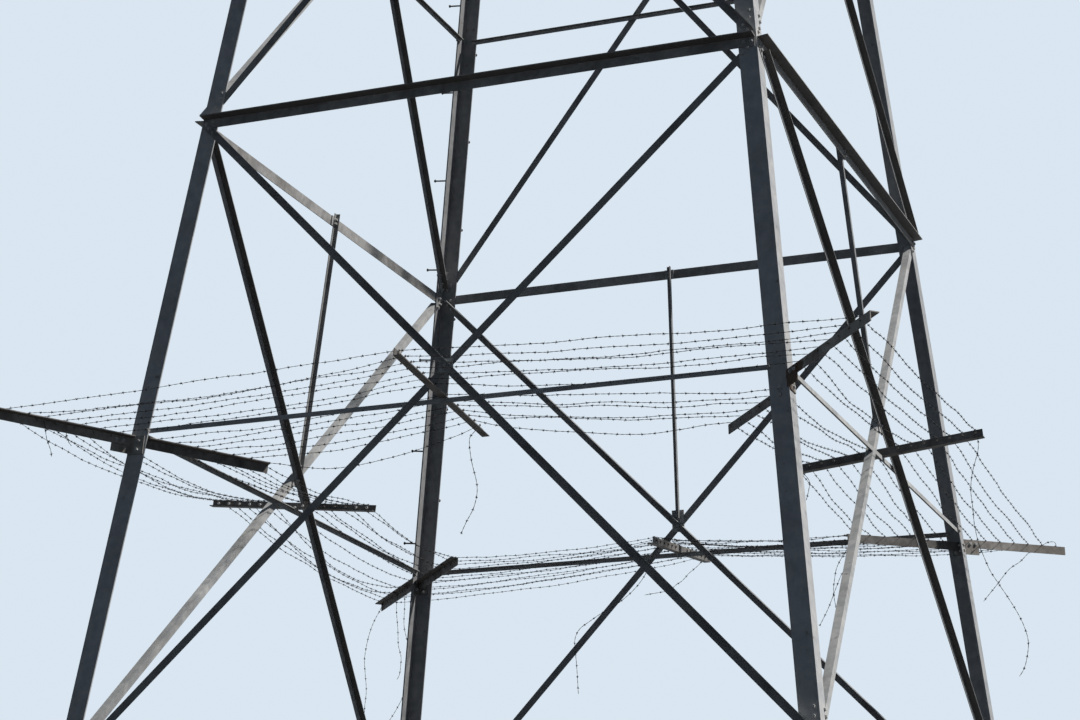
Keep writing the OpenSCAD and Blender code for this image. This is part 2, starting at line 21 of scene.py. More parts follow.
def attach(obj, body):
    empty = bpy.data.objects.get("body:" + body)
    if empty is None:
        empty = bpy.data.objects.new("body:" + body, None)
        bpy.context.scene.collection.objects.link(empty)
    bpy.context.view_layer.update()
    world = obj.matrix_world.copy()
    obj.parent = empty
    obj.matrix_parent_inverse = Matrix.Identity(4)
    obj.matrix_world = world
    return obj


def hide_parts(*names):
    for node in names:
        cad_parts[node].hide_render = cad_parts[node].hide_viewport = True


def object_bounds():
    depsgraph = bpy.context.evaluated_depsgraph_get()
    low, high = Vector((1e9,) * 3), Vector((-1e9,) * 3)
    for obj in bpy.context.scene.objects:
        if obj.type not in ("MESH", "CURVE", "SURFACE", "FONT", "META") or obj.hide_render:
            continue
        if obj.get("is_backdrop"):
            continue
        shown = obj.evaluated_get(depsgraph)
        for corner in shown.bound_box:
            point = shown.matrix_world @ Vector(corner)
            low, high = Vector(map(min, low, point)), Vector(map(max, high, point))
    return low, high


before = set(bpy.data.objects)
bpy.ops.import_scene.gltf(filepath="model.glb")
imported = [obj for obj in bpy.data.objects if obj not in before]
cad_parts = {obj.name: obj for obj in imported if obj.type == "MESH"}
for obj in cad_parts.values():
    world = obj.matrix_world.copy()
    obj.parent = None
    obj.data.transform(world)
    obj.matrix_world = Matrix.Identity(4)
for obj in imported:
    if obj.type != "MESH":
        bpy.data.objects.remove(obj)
cad_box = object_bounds()

LOG = logging.getLogger("pylon")
ROOT = "root"
# start of the random bends in the old wire
SEED = 7
# numbers of the faces, and of the legs
FACES = range(4)
# lays a piece that stands along z along y, its top towards -y
LAID = Matrix.Rotation(math.pi / 2, 4, "X")
# sides that meet at more than this stay sharp in a smooth piece
SHARP = math.radians(40)
Rgb = tuple[float, float, float]
Pairs = tuple[tuple[float, float], ...]


class Slot(Enum):
    """Material slots of the record."""

    LEG = "leg_steel"
    BRACE = "brace_steel"
    GUARD = "guard_steel"
    WIRE = "barbed_wire"
    PORCELAIN = "porcelain"


class Face(Enum):
    """Sides of the tower."""

    FRONT = 0
    RIGHT = 1
    BACK = 2
    LEFT = 3


@dataclass(frozen=True)
class Tower:
    """Shape of the tower: level lines, lean and section sizes that the fittings sit on."""

    girt_z: float = 9.82
    girt_w: float = 4.87
    batter: float = 0.109
    node_z: float = 9.84
    low_z: float = 4.28
    foot_z: float = 0.355
    second_z: float = 15.1
    third_z: float = 19.7791
    waist_z: float = 23.7650
    waist_w: float = 1.83
    cage_batter: float = 0.03
    guard_z: float = 7.086
    light_z: float = 12.474
    splice_z: float = 14.04
    leg: float = 0.152
    leg_t: float = 0.013
    upper_leg: float = 0.127
    upper_leg_t: float = 0.011
    cage_leg_t: float = 0.010
    brace: float = 0.064
    brace_t: float = 0.006
    upper_brace: float = 0.057
    girt: float = 0.089
    girt_t: float = 0.008
    light: float = 0.040
    light_t: float = 0.005
    arm: float = 0.064
    arm_t: float = 0.006
    corner_arm_t: float = 0.008
    cleat_t: float = 0.008
    mid_u: float = -0.029
    mid_strand_drop: float = 0.025
    arm_rise: tuple[float, ...] = (0.07, 0.04, -0.04, 0.085)
    drop_out: tuple[float, ...] = (0.036, 0.050, 0.036, 0.044)
    drop_in: tuple[float, ...] = (0.143, 0.081, 0.086, 0.036)
    strand_shift: tuple[float, ...] = (0.0, -0.045, 0.0, 0.0)
    strand_first: float = 0.110
    strand_gap: float = 0.107
    strand_n: int = 7
    arm_reach: tuple[float, ...] = (3.6, 4.5, 3.3)
    arm_pitch: float = 3.6
    arm_h: float = 1.2
    chord_up: float = 0.014
    chord: float = 0.076
    cage_over: float = 0.09
    peak_h: float = 2.4
    peak_head: float = 0.14
    peak_half: float = 0.09

    @property
    def half_ground(self) -> float:
        """Half width of the batter planes at ground level."""
        return self.girt_w / 2 + self.batter * self.girt_z

    @property
    def half_ground_cage(self) -> float:
        """Half width of the cage planes carried down to ground level."""
        return self.waist_w / 2 + self.cage_batter * self.waist_z

    @property
    def tilt(self) -> float:
        """Lean of a face in radians."""
        return math.atan(self.batter)

    @property
    def mid_v(self) -> float:
        """Top of the mid arms, measured up the slope."""
        return self.up(self.guard_z) + self.light / 2 + self.arm

    @property
    def cage_top(self) -> float:
        """Height of the top of the cage legs."""
        return self.waist_z + 2 * self.arm_pitch + self.arm_h + self.cage_over

    @property
    def peak_lean(self) -> float:
        """Lean of the peak's faces."""
        return (self.half_cage(self.cage_top) - self.peak_half) / (self.peak_h - self.peak_head)

    @property
    def half_ground_peak(self) -> float:
        """Half width of the peak's planes carried down to ground level."""
        return self.half_cage(self.cage_top) + self.peak_lean * self.cage_top

    def half(self, z: float) -> float:
        """Half width across the heels at height z."""
        return self.half_ground - self.batter * z

    def half_cage(self, z: float) -> float:
        """Half width of the cage across the heels at height z."""
        return self.half_ground_cage - self.cage_batter * z

    def up(self, z: float) -> float:
        """Distance up the slope of a face at height z."""
        return z / math.cos(self.tilt)

    def up_cage(self, z: float) -> float:
        """Distance up the slope of a cage face at height z."""
        return z / math.cos(math.atan(self.cage_batter))

    def face(self, index: int) -> Matrix:
        """Matrix from the drawing of batter face index to the tower's frame."""
        return place_face(index, self.half_ground, self.batter)

    def cage_face(self, index: int) -> Matrix:
        """Matrix from the drawing of cage face index to the tower's frame."""
        return place_face(index, self.half_ground_cage, self.cage_batter)

    def heel_z(self, index: int, outer: bool) -> float:
        """Height at which the top line of a corner arm meets the leg heel."""
        return self.guard_z - (self.drop_out if outer else self.drop_in)[index]

    def corner(self, index: int, outer: bool) -> Matrix:
        """Matrix with x outward along the top line of a corner arm, from the leg heel.

        Args:
            index: number of the leg.
            outer: whether it is the arm outside the tower.

        Returns:
            The matrix to the tower's frame.
        """
        z = self.heel_z(index, outer)
        h = self.half(z)
        return (
            quarter(index)
            @ Matrix.Translation((h, -h, z))
            @ Matrix.Rotation(math.radians(-45), 4, "Z")
            @ Matrix.Rotation(-math.atan(self.arm_rise[index]), 4, "Y")
        )

    def strand_out(self, place: float) -> float:
        """Distance of a strand outward from the heels by its place, 1 to 7, or minus if inward."""
        return math.copysign(self.strand_first + (abs(place) - 1) * self.strand_gap, place)

    def on_corner(self, side: int, way: int, place: float, lift: float) -> Vector:
        """Point where a strand lies on a corner arm.

        Args:
            side: number of the face that the strand runs along.
            way: 1 for the face's right end, -1 for its left.
            place: the strand's place.
            lift: height of its middle over the arm.

        Returns:
            The point in the tower's frame.
        """
        index = side if way > 0 else (side + 3) % 4
        z = self.heel_z(index, place > 0)
        run = self.strand_out(place) + self.strand_shift[index]
        h = self.half(z) + run
        rise = self.arm_rise[index] * run * math.sqrt(2)
        return quarter(side) @ Vector((way * h, -h, z + rise + lift))

    def middle_w(self, place: float) -> float:
        """Distance of a strand outward from the face where it crosses the mid arm."""
        y = self.half(self.guard_z - self.mid_strand_drop) + self.strand_out(place)
        return (y - self.half_ground + self.mid_v * math.sin(self.tilt)) / math.cos(self.tilt)

    def on_middle(self, side: int, place: float, lift: float) -> Vector:
        """Point where a strand lies on the mid arm of a face."""
        at = self.face(side) @ Vector((self.mid_u, self.mid_v, self.middle_w(place)))
        return at + Vector((0, 0, lift))

    def ring_z(self, n: int) -> float:
        """Height of cage ring n: the foot and the head of each crossarm in turn."""
        return self.waist_z + (n // 2) * self.arm_pitch + (n % 2) * self.arm_h


def quarter(index: int) -> Matrix:
    """Turn by quarter turns about the tower's axis."""
    return Matrix.Rotation(math.radians(90 * index), 4, "Z")


def place_face(index: int, half_ground: float, batter: float) -> Matrix:
    """Places the drawing of a leaning face.

    Args:
        index: number of the face.
        half_ground: half width of its planes at ground level.
        batter: how far it leans in for each metre of height.

    Returns:
        The matrix from (u, v, w) to the tower's frame.
    """
    return (
        quarter(index)
        @ Matrix.Translation((0, -half_ground, 0))
        @ Matrix.Rotation(math.pi / 2 - math.atan(batter), 4, "X")
    )


class Graph:
    """Short way to add and link shader nodes in one tree."""

    def __init__(self, tree: NodeTree) -> None:
        """Starts from an empty tree."""
        self.tree = tree
        tree.nodes.clear()

    def feed(self, node: Node, **inputs: object) -> None:
        """Gives a node its inputs.

        Args:
            node: the node.
            **inputs: socket names, with _ for a space or iN for input N, and a value or a socket.
        """
        for name, value in inputs.items():
            is_number = name[0] == "i" and name[1:].isdigit()
            socket = node.inputs[int(name[1:]) if is_number else name.replace("_", " ")]
            if isinstance(value, NodeSocket):
                self.tree.links.new(value, socket)
            else:
                socket.default_value = value

    def add(self, kind: str, settings: dict | None = None, **inputs: object) -> Node:
        """Adds a node.

        Args:
            kind: node type without its ShaderNode prefix.
            settings: values of the node's own properties.
            **inputs: its inputs, as feed takes them.

        Returns:
            The new node.
        """
        node = self.tree.nodes.new("ShaderNode" + kind)
        for name, value in (settings or {}).items():
            setattr(node, name, value)
        self.feed(node, **inputs)
        return node

    def math(self, operation: str, a: object, b: object, clamp: bool = False) -> NodeSocket:
        """Adds a math node and returns its value socket."""
        return self.add("Math", {"operation": operation, "use_clamp": clamp}, i0=a, i1=b).outputs[0]

    def total(self, *parts: tuple[NodeSocket, float]) -> NodeSocket:
        """Adds up values.

        Args:
            *parts: each value with its share.

        Returns:
            The socket of the sum.
        """
        found, *rest = (self.math("MULTIPLY", value, share) for value, share in parts)
        for part in rest:
            found = self.math("ADD", found, part)
        return found

    def mix(self, share: NodeSocket, a: NodeSocket | Rgb, b: NodeSocket | Rgb) -> NodeSocket:
        """Adds a colour mix node from a to b and returns its colour socket."""
        ends = [end if isinstance(end, NodeSocket) else (*end, 1.0) for end in (a, b)]
        return self.add("Mix", {"data_type": "RGBA"}, i0=share, i6=ends[0], i7=ends[1]).outputs[2]

    def ramp(
        self, value: NodeSocket, low: float, high: float, to_low: float = 0.0, to_high: float = 1.0
    ) -> NodeSocket:
        """Maps a value from one range to another with soft ends.

        Args:
            value: the socket.
            low: start of its range.
            high: end of its range.
            to_low: what its start becomes.
            to_high: what its end becomes.

        Returns:
            The socket of the result.
        """
        ends = {"i1": low, "i2": high, "i3": to_low, "i4": to_high}
        soft = {"interpolation_type": "SMOOTHSTEP"}
        return self.add("MapRange", soft, i0=value, **ends).outputs[0]

    def noise(self, vector: NodeSocket, scale: float, detail: float = 3.0) -> NodeSocket:
        """Adds a noise texture and returns its value socket."""
        return self.add("TexNoise", Vector=vector, Scale=scale, Detail=detail).outputs[0]

    def seen(self) -> NodeSocket:
        """Adds a mask of the rays that come from the camera, in gloss and through glass too.

        Returns:
            The socket of the mask.
        """
        rays = self.add("LightPath").outputs
        seen = self.math("MAXIMUM", rays["Is Camera Ray"], rays["Is Transmission Ray"])
        return self.math("MAXIMUM", seen, rays["Is Glossy Ray"])


def new_group(
    name: str, inputs: dict[str, tuple[str, object]], outputs: dict[str, str]
) -> tuple[NodeTree, Graph, Node, Node]:
    """Makes an empty shader node group with its sockets.

    Args:
        name: name of the group.
        inputs: socket name to (Float, Color or Vector, default).
        outputs: socket name to Float, Color or Vector.

    Returns:
        The group, its graph, its input node and its output node.
    """
    group = bpy.data.node_groups.new(name, "ShaderNodeTree")
    for socket, (kind, value) in inputs.items():
        made = group.interface.new_socket(socket, in_out="INPUT", socket_type="NodeSocket" + kind)
        made.default_value = value
    for socket, kind in outputs.items():
        group.interface.new_socket(socket, in_out="OUTPUT", socket_type="NodeSocket" + kind)
    graph = Graph(group)
    return group, graph, group.nodes.new("NodeGroupInput"), group.nodes.new("NodeGroupOutput")


def make_zinc_group() -> NodeTree:
    """Crystals of a hot dip zinc coat, with the duller bloom that covers them as it ages.

    Returns:
        A group from a position to a colour shift and a surface height.
    """
    group, g, start, end = new_group(
        "zinc_coat", {"Vector": ("Vector", (0, 0, 0))}, {"Shift": "Float", "Height": "Float"}
    )
    where = start.outputs["Vector"]
    cells = g.add("TexVoronoi", {"feature": "F1"}, Vector=where, Scale=60.0).outputs["Color"]
    grain = g.add("SeparateColor", Color=cells).outputs[0]
    broad, narrow = g.noise(where, scale=5.0, detail=4.0), g.noise(where, scale=15.0, detail=3.0)
    patches = g.total((broad, 0.5), (narrow, 0.5))
    shift = g.total((grain, 0.03), (g.ramp(patches, 0.32, 0.66), 0.95))
    height = g.total((grain, 0.25), (g.noise(where, scale=240.0, detail=2.0), 1.0))
    g.feed(end, Shift=shift, Height=height)
    return group


def make_grime_group() -> NodeTree:
    """Dark grime: blotches, and streaks that run down with the rain.

    Returns:
        A group from a position and an amount to a mask.
    """
    group, g, start, end = new_group(
        "rain_grime",
        {"Vector": ("Vector", (0, 0, 0)), "Amount": ("Float", 0.5)},
        {"Mask": "Float"},
    )
    where = start.outputs["Vector"]
    drawn = g.add("Mapping", Vector=where, Scale=(1.0, 1.0, 0.09)).outputs[0]
    streaks = g.ramp(g.noise(drawn, scale=30.0, detail=2.0), 0.44, 0.76)
    blotches = g.ramp(g.noise(where, scale=3.2, detail=6.0), 0.44, 0.66)
    small = g.ramp(g.noise(where, scale=12.0, detail=3.0), 0.42, 0.74)
    total = g.total((streaks, 0.26), (blotches, 0.60), (small, 0.20))
    g.feed(end, Mask=g.math("MULTIPLY", total, start.outputs["Amount"], clamp=True))
    return group


def make_rust_group() -> NodeTree:
    """Rust that blooms in freckles where the zinc has gone, thicker near one place.

    Returns:
        A group from a position, an amount, a centre and a radius to a mask and a colour.
    """
    group, g, start, end = new_group(
        "rust_bloom",
        {
            "Vector": ("Vector", (0, 0, 0)),
            "Amount": ("Float", 0.1),
            "Centre": ("Vector", (0, 0, 0)),
            "Radius": ("Float", 0.2),
        },
        {"Mask": "Float", "Color": "Color"},
    )
    where, amount = start.outputs["Vector"], start.outputs["Amount"]
    centre, radius = start.outputs["Centre"], start.outputs["Radius"]
    away = g.add("VectorMath", {"operation": "DISTANCE"}, i0=where, i1=centre).outputs["Value"]
    near = g.math("SUBTRACT", 1.0, g.math("DIVIDE", away, radius), clamp=True)
    freckles = g.noise(where, scale=14.0, detail=7.0)
    level = g.total((freckles, 1.0), (near, 0.55), (amount, 0.25))
    tone = g.mix(g.noise(where, scale=60.0), (0.060, 0.048, 0.041), (0.130, 0.092, 0.068))
    g.feed(end, Mask=g.ramp(level, 0.64, 0.84), Color=tone)
    return group


def make_deposit_and_shade_below_group() -> NodeTree:
    """Brown deposit that stays on surfaces facing down, where no rain washes it off, dark enough to
    be painted shade on those undersides too.

    Returns:
        A group from an amount to a mask.
    """
    group, g, start, end = new_group("dry_deposit_and_shade_below", {"Amount": ("Float", 0.5)}, {"Mask": "Float"})
    normal = g.add("NewGeometry").outputs["Normal"]
    down = g.add("SeparateXYZ", Vector=normal).outputs[2]
    facing = g.ramp(g.math("MULTIPLY", down, -1.0), 0.15, 0.70)
    g.feed(end, Mask=g.math("MULTIPLY", facing, start.outputs["Amount"]))
    return group


class Effects:
    """Shader node groups that several finishes use, made once."""

    def __init__(self) -> None:
        """Builds every group."""
        self.zinc = make_zinc_group()
        self.grime = make_grime_group()
        self.rust = make_rust_group()
        self.deposit_and_shade_below = make_deposit_and_shade_below_group()

    @staticmethod
    def use(graph: Graph, group: NodeTree, **inputs: object) -> Node:
        """Places a group in a material with its own values."""
        return graph.add("Group", {"node_tree": group}, **inputs)


@dataclass(frozen=True)
class Galvanised:
    """Weathered galvanised steel, darker on surfaces facing down: a brown deposit there, and
    painted shade.
    """

    name: str
    pale: Rgb
    dark: Rgb
    stain: Rgb = (0.17, 0.165, 0.16)
    # colour that surfaces facing down turn to: brown deposit and painted shade together
    deposit_and_shade_tone: Rgb = (0.075, 0.064, 0.056)
    grime: float = 0.6
    rust: float = 0.0
    # how far surfaces facing down turn to that colour: deposit and painted shade together
    deposit_and_shade_below: float = 0.6
    metallic: float = 0.0
    rust_at: tuple[float, float, float] = (0.0, 0.0, -9.0)
    rust_radius: float = 0.3
    rough_clean: float = 0.62
    rough_worn: float = 0.90

    def make(self, effects: Effects) -> Material:
        """Builds the material.

        Args:
            effects: the shared shader groups.

        Returns:
            The material.
        """
        material, g, shader = new_material(self.name)
        where = g.add("TexCoord").outputs["Object"]
        zinc = effects.use(g, effects.zinc, Vector=where)
        grime = effects.use(g, effects.grime, Vector=where, Amount=self.grime).outputs["Mask"]
        spot = {"Centre": self.rust_at, "Radius": self.rust_radius}
        rust = effects.use(g, effects.rust, Vector=where, Amount=self.rust, **spot)
        # mask of surfaces facing down, which take the deposit colour as painted shade too
        deposit_and_shade_below = effects.use(g, effects.deposit_and_shade_below, Amount=self.deposit_and_shade_below).outputs["Mask"]
        coat = g.mix(zinc.outputs["Shift"], self.dark, self.pale)
        brown = g.mix(deposit_and_shade_below, g.mix(grime, coat, self.stain), self.deposit_and_shade_tone)
        worn = g.math("MAXIMUM", grime, rust.outputs["Mask"])
        bump = g.add("Bump", Height=zinc.outputs["Height"], Strength=0.04, Distance=0.002)
        g.feed(
            shader,
            Base_Color=g.mix(rust.outputs["Mask"], brown, rust.outputs["Color"]),
            Roughness=g.ramp(worn, 0.0, 1.0, self.rough_clean, self.rough_worn),
            Normal=bump.outputs["Normal"],
            Metallic=self.metallic,
            Specular_IOR_Level=0.2,
        )
        return material


@dataclass(frozen=True)
class OldWire:
    """Barbed wire whose zinc has gone dark."""

    name: str = "old_wire"
    dark: Rgb = (0.028, 0.029, 0.033)
    pale: Rgb = (0.065, 0.063, 0.062)
    brown: Rgb = (0.075, 0.042, 0.028)
    rust: float = 0.35

    def make(self, effects: Effects) -> Material:
        """Builds the material.

        Args:
            effects: the shared shader groups.

        Returns:
            The material.
        """
        material, g, shader = new_material(self.name)
        where = g.add("TexCoord").outputs["Object"]
        rust = effects.use(g, effects.rust, Vector=where, Amount=self.rust).outputs["Mask"]
        tone = g.mix(g.noise(where, scale=5.0), self.dark, self.pale)
        colour = g.mix(rust, tone, self.brown)
        g.feed(shader, Base_Color=colour, Roughness=0.8, Specular_IOR_Level=0.2)
        return material


@dataclass(frozen=True)
class Glaze:
    """Brown glazed porcelain with dust in its ribs."""

    name: str = "brown_glaze"
    dark: Rgb = (0.085, 0.030, 0.014)
    pale: Rgb = (0.150, 0.058, 0.026)
    dust: Rgb = (0.16, 0.13, 0.11)
    grime: float = 0.35
    rough_clean: float = 0.12
    rough_dusty: float = 0.55

    def make(self, effects: Effects) -> Material:
        """Builds the material.

        Args:
            effects: the shared shader groups.

        Returns:
            The material.
        """
        material, g, shader = new_material(self.name)
        where = g.add("TexCoord").outputs["Object"]
        grime = effects.use(g, effects.grime, Vector=where, Amount=self.grime).outputs["Mask"]
        glaze = g.mix(g.noise(where, scale=6.0), self.dark, self.pale)
        colour = g.mix(grime, glaze, self.dust)
        rough = g.ramp(grime, 0.0, 0.6, self.rough_clean, self.rough_dusty)
        g.feed(shader, Base_Color=colour, Roughness=rough, Coat_Weight=0.6, Coat_Roughness=0.08)
        return material


def new_material(name: str) -> tuple[Material, Graph, Node]:
    """Makes a material with one Principled shader.

    Args:
        name: name of the material.

    Returns:
        The material, its graph and its shader node.
    """
    material = bpy.data.materials.new(name)
    material.use_nodes = True
    graph = Graph(material.node_tree)
    shader = graph.add("BsdfPrincipled")
    graph.add("OutputMaterial", Surface=shader.outputs[0])
    return material, graph, shader


def add_object(name: str, data: bpy.types.ID) -> bpy.types.Object:
    """Adds an object to the scene.

    Args:
        name: name of the object.
        data: its mesh, curve, lamp or camera.

    Returns:
        The new object.
    """
    made = bpy.data.objects.new(name, data)
    bpy.context.scene.collection.objects.link(made)
    return made


def save_piece(
    name: str, bm: BMesh, material: Material, slot: Slot, smooth: bool = False
) -> bpy.types.Object:
    """Turns a bmesh into a finished piece on the tower.

    Args:
        name: name of the piece.
        bm: its mesh, which is freed.
        material: its finish.
        slot: the record's material slot; not used.
        smooth: whether its round sides are shaded smooth.

    Returns:
        The new object.
    """
    mesh = template_of(name, bm)
    mesh.materials.append(material)
    if smooth:
        mesh.shade_smooth()
        mesh.set_sharp_from_angle(angle=SHARP)
    piece = add_object(name, mesh)
    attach(piece, ROOT)
    triangles = sum(len(p.vertices) - 2 for p in mesh.polygons)
    LOG.info("%s: %d triangles", name, triangles)
    return piece


def stamp(bm: BMesh, template: Mesh, matrix: Matrix) -> None:
    """Adds a placed copy of a template mesh.

    Args:
        bm: mesh that it is added to.
        template: the mesh that is copied.
        matrix: its place.
    """
    copy = template.copy()
    copy.transform(matrix)
    bm.from_mesh(copy)
    bpy.data.meshes.remove(copy)


def template_of(name: str, bm: BMesh) -> Mesh:
    """Turns a bmesh into a mesh.

    Args:
        name: name of the mesh.
        bm: the bmesh, which is freed.

    Returns:
        The mesh.
    """
    mesh = bpy.data.meshes.new(name)
    bm.to_mesh(mesh)
    bm.free()
    return mesh


def prism(
    bm: BMesh,
    sides: int,
    radius: float,
    low: float,
    high: float,
    top: float | None = None,
    place: Matrix | None = None,
) -> None:
    """Adds a prism or cone along z.

    Args:
        bm: mesh that it is added to.
        sides: number of sides.
        radius: radius at the low end.
        low: height of the low end.
        high: height of the high end.
        top: radius at the high end, or None for the same.
        place: where it is moved, or None where it stays on z.
    """
    made = bmesh.ops.create_cone(
        bm,
        cap_ends=True,
        segments=sides,
        radius1=radius,
        radius2=radius if top is None else top,
        depth=high - low,
        matrix=Matrix.Translation((0, 0, (low + high) / 2)),
    )
    if place is not None:
        bmesh.ops.transform(bm, matrix=place, verts=made["verts"])


@dataclass
class Fastener:
    """A hexagon bolt with washers and a nut, as a head part and a nut part along +z.

    Each one that is fitted stands at an angle of its own, set by its place and by turns.
    """

    shank: float = 0.016
    across: float = 0.024
    head_h: float = 0.011
    nut_h: float = 0.013
    washer: float = 0.017
    washer_t: float = 0.003
    tail: float = 0.008
    chamfer_at: float = 0.8
    chamfer: float = 0.86
    turns: tuple[float, float] = (7.3, 3.1)
    head: Mesh = field(init=False)
    nut: Mesh = field(init=False)

    def __post_init__(self) -> None:
        """Builds both templates."""
        hexagon = self.across / math.sqrt(3)
        shoulder = self.washer_t + self.head_h * self.chamfer_at
        head = bmesh.new()
        prism(head, 10, self.washer, 0, self.washer_t)
        prism(head, 6, hexagon, self.washer_t, shoulder)
        prism(head, 6, hexagon, shoulder, self.washer_t + self.head_h, hexagon * self.chamfer)
        self.head = template_of("bolt_head", head)
        nut = bmesh.new()
        top = self.washer_t + self.nut_h
        prism(nut, 10, self.washer, 0, self.washer_t)
        prism(nut, 6, hexagon, self.washer_t, top)
        prism(nut, 8, self.shank / 2, top, top + self.tail)
        self.nut = template_of("bolt_nut", nut)

    def fit(self, bm: BMesh, drawing: Matrix, u: float, v: float, out: float, back: float) -> None:
        """Puts a bolt through a joint.

        Args:
            bm: mesh that takes the bolt.
            drawing: matrix of the face drawing.
            u: place along the face.
            v: place up the face.
            out: w of the surface under the head.
            back: w of the surface under the nut.
        """
        turn = Matrix.Rotation((u * self.turns[0] + v * self.turns[1]) % 1.0, 4, "Z")
        stamp(bm, self.head, drawing @ Matrix.Translation((u, v, out)) @ turn)
        under = Matrix.Translation((u, v, back)) @ Matrix.Rotation(math.pi, 4, "X")
        stamp(bm, self.nut, drawing @ under @ turn)


@dataclass
class BoltSet:
    """Places bolts in rows on the ends of bars, with sizes that all the sets share."""

    tower: Tower
    bolt: Fastener
    from_end: float = 0.030
    pitch: float = 0.060

    def bar(
        self,
        bm: BMesh,
        drawing: Matrix,
        low: tuple[float, float],
        high: tuple[float, float],
        out: float,
        back: float,
        count: int = 2,
    ) -> None:
        """Bolts both ends of a bar.

        Args:
            bm: mesh that takes the bolts.
            drawing: matrix of the drawing.
            low: (u, v) of one end.
            high: (u, v) of the other end.
            out: w of the surface under the heads.
            back: w of the surface under the nuts.
            count: bolts at each end.
        """
        a, b = Vector(low), Vector(high)
        way = (b - a).normalized()
        for end, forward in ((a, way), (b, -way)):
            for n in range(count):
                at = end + forward * (self.from_end + n * self.pitch)
                self.bolt.fit(bm, drawing, at.x, at.y, out, back)

    def level(
        self, bm: BMesh, drawing: Matrix, half: float, v: float, out: float, back: float, count: int
    ) -> None:
        """Bolts both ends of a level bar of a half length, as bar does."""
        self.bar(bm, drawing, (-half, v), (half, v), out, back, count)


